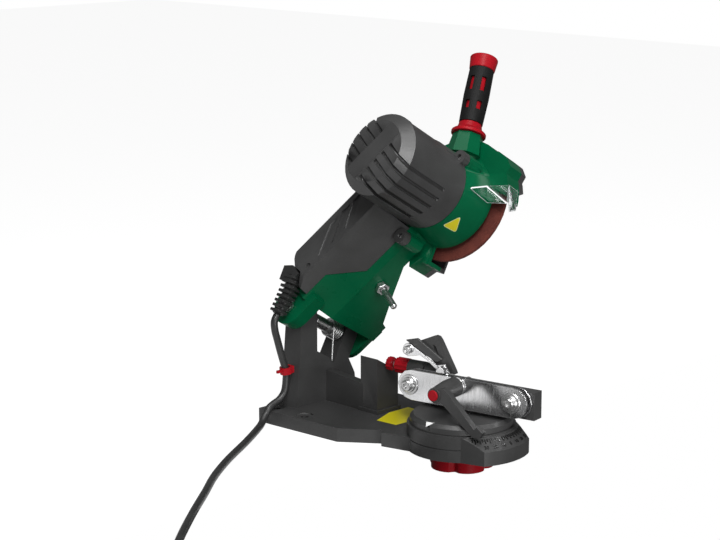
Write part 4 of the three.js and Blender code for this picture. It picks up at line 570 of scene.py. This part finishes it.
# %% The coil
coil_middle, coil_spacing, coil_loops, coil_steps = 35, 7.1, 6, 24
run_in, tail_step = 8.3, 18
heading = Vector((run_out.x, run_out.y, 0)).normalized()
sideways = Vector((-heading.y, heading.x, 0))
coil_outer = coil_middle + coil_spacing * coil_loops / 4
entry = route[-1] + heading * run_in
hub = entry + sideways * coil_outer
base_angle = atan2(-sideways.y, -sideways.x)
coil = []
for i in range(coil_loops * coil_steps + 1):
    share = i / (coil_loops * coil_steps)
    climb = min(1, max(0, (share - 0.5 + 0.25 / coil_loops) * 2 * coil_loops))
    radius = coil_outer - (coil_outer - coil_middle) * 2 * (1 - abs(1 - share * 2))
    angle = base_angle + 2 * pi * i / coil_steps
    across, ahead = hub.x + radius * cos(angle), hub.y + radius * sin(angle)
    coil.append(Vector((across, ahead, route[-1].z + climb * coil_spacing)))
leaving = coil[-1] - coil[-2]
leaving.z = 0
leaving.normalize()
coil += [coil[-1] + leaving * tail_step, coil[-1] + leaving * tail_step * 2]
whole_route = route + coil
print("route points:", len(whole_route))

# %% Lay the cord
lead_radius = 0.0032
line = bpy.data.curves.new("supply_lead", "CURVE")
line.dimensions = "3D"
line.bevel_depth = lead_radius
line.bevel_resolution = 5
line.resolution_u = 8
line.use_fill_caps = True
spline = line.splines.new("BEZIER")
spline.bezier_points.add(len(whole_route) - 1)
lefts, rights = route_handles(whole_route)
for knot, point, left, right in zip(spline.bezier_points, whole_route, lefts, rights):
    knot.co = point / MM
    knot.handle_left_type = knot.handle_right_type = "FREE"
    knot.handle_left, knot.handle_right = left / MM, right / MM
lead = bpy.data.objects.new("supply_lead", line)
bpy.context.collection.objects.link(lead)
line.materials.append(pvc)
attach(lead, "base")
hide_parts("supply_cord", "cord_coil")
plug = rounded("mains_plug", "mains_plug_moulding", pvc, 0.8)
plug.data.materials.append(zinc)
plug_heading = (whole_route[-1] - whole_route[-2]).normalized()
tip = max((v.co * MM).dot(plug_heading) for v in plug.data.vertices)
pin_mm = 18.5
for face in plug.data.polygons:
    if (face.center * MM).dot(plug_heading) > tip - pin_mm:
        face.material_index = 1

# %% [markdown]
# ## Printed marks
# A film or pad print is thin and follows the surface under it. A patch of small faces is dropped onto the piece
# along the line of sight from the photograph's camera, then lifted by about a tenth of a millimetre.

# %% Marks by their place in the picture
def pixel_ray(x, y):
    eye = camera.matrix_world
    step = sensor_mm / focal_mm / picture_wide
    sight = Vector(((x - picture_wide / 2) * step, (picture_high / 2 - y) * step, -1))
    return eye.translation, (eye.to_3x3() @ sight).normalized()


patch_cuts, corner_steps = 5, 4


def printed(name, corners, carrier, finish, body, lift=0.0001):
    shape = bmesh.new()
    ring = [shape.verts.new((x, y, 0)) for x, y in corners]
    shape.faces.new(ring)
    bmesh.ops.triangulate(shape, faces=shape.faces)
    bmesh.ops.subdivide_edges(shape, edges=shape.edges, cuts=patch_cuts, use_grid_fill=True)
    graph = bpy.context.evaluated_depsgraph_get()
    tree = BVHTree.FromObject(carrier, graph)
    missed = 0
    for vert in shape.verts:
        eye, ray = pixel_ray(vert.co.x, vert.co.y)
        hit, normal, _, _ = tree.ray_cast(eye, ray)
        if hit is None:
            missed += 1
            continue
        vert.co = hit + normal * lift
    bmesh.ops.recalc_face_normals(shape, faces=shape.faces)
    print(name, "missed points:", missed)
    return adopt(mesh_of(shape, name), name, finish, body)


def softened(corners, radius):
    """The same outline with each corner cut to a small arc."""
    outline = []
    points = [Vector(c) for c in corners]
    for i, point in enumerate(points):
        back = (points[i - 1] - point).normalized() * radius
        ahead = (points[(i + 1) % len(points)] - point).normalized() * radius
        for k in range(corner_steps + 1):
            t = k / corner_steps
            outline.append(point + back * (1 - t) ** 2 + ahead * t ** 2)
    return outline


def film(name, corners, height, finish, body):
    """A flat film on the plate: corners in mm from the turntable's axis."""
    shape = bmesh.new()
    shape.faces.new([shape.verts.new(BENCH @ Vector((x, y, height))) for x, y in corners])
    return close_shape(shape, name, finish, body)


triangle = [(460.9, 216.4), (442.4, 225.4), (455.9, 232.6)]
printed("bell_mark_border", softened(triangle, 3.2), made["arm_frame"], border_print, "arm", 0.00008)
triangle_middle, border_share = Vector((453.1, 224.8)), 0.09
inset = [Vector(c) + (triangle_middle - Vector(c)) * border_share for c in triangle]
printed("bell_mark", softened(inset, 2.6), made["arm_frame"], yellow_print, "arm", 0.00016)
pointer = [(426.4, 421.8), (434.4, 423.0), (425.8, 426.9)]
printed("table_pointer", pointer, made["turntable"], white_print, "table")
# Painted shade: a black patch where the notch beside the pointer falls dark.
notch = [(426.8, 426.6), (429.6, 425.4), (429.7, 430.9), (427.0, 429.9)]
printed("painted_notch_shade", notch, made["turntable"], recess_shade_black, "table")
label = [(-24.4, 75.7), (0, 84.7), (24, 84.7), (24, 53), (-22.5, 54.5)]
plate_top, film_lift = 12, 0.08
film("base_label", label, plate_top + film_lift, yellow_print, "base")

# %% [markdown]
# ## Studio
# A pale bench carries the base, and its front edge stops behind the lock knob, which hangs over it. To the camera
# the bench, and everything beyond, is white; light and shadow on it stay real. Large soft lamps stand above, to the
# left, in front and low in front.

# %% Bench and world
def stage_sheet(name, x0, x1, y0, y1, z):
    shape = bmesh.new()
    for x, y in ((x0, y0), (x1, y0), (x1, y1), (x0, y1)):
        shape.verts.new((x, y, z))
    shape.faces.new(shape.verts)
    sheet = bpy.data.objects.new(name, mesh_of(shape, name, smooth=False))
    bpy.context.collection.objects.link(sheet)
    return sheet


bench_paint, tree, place = new_finish("pale_bench")
pale = add(tree, "BsdfDiffuse", {"Color": (0.8, 0.8, 0.8, 1)})
shown = add(tree, "BsdfDiffuse", {"Color": (0.16, 0.16, 0.16, 1)})
glow = add(tree, "Emission", {"Color": (1, 1, 1, 1), "Strength": 0.92})
seen = add(tree, "AddShader", {0: shown.outputs[0], 1: glow.outputs[0]})
path = add(tree, "LightPath")
mix = add(tree, "MixShader", {0: path.outputs["Is Camera Ray"], 1: pale.outputs[0], 2: seen.outputs[0]})
close_finish(tree, mix)
bench_side, bench_front, bench_back, bench_drop = 3, -0.08, 4, 0.0002
bench = stage_sheet("bench_top", -bench_side, bench_side, bench_front, bench_back, -bench_drop)
bench.data.materials.append(bench_paint)

world = bpy.data.worlds.new("studio")
bpy.context.scene.world = world
world.use_nodes = True
tree = world.node_tree
tree.nodes.clear()
path = add(tree, "LightPath")
rays = {0: path.outputs["Is Camera Ray"], 1: path.outputs["Is Transmission Ray"]}
either = add(tree, "Math", rays, operation="MAXIMUM")
dim = add(tree, "Background", {"Color": (1, 1, 1, 1), "Strength": 0.15})
white = add(tree, "Background", {"Color": (1, 1, 1, 1), "Strength": 1.0})
mix = add(tree, "MixShader", {0: either.outputs[0], 1: dim.outputs[0], 2: white.outputs[0]})
add(tree, "OutputWorld", {"Surface": mix.outputs[0]})
print("bench and world ready")

# %% Lamps
def soft_lamp(name, place, aim, size, power):
    lamp = bpy.data.lights.new(name, "AREA")
    lamp.shape = "RECTANGLE"
    lamp.size, lamp.size_y = size
    lamp.energy = power
    holder = bpy.data.objects.new(name, lamp)
    holder.location = place
    holder.rotation_euler = (Vector(aim) - Vector(place)).to_track_quat("-Z", "Y").to_euler()
    bpy.context.collection.objects.link(holder)


soft_lamp("top_box", (-0.2, -0.3, 1.3), (0, 0, 0.12), (0.8, 0.8), 10)
soft_lamp("left_box", (-0.8, -0.9, 1.2), (0, 0, 0.12), (0.5, 0.7), 19)
soft_lamp("front_box", (-0.3, -1.5, 0.35), (0, 0, 0.08), (0.6, 0.6), 5)
soft_lamp("low_box", (-0.25, -0.75, -0.02), (0, -0.08, 0.02), (0.35, 0.25), 1.7)

# %% View transform
bpy.context.scene.view_settings.view_transform = "Standard"
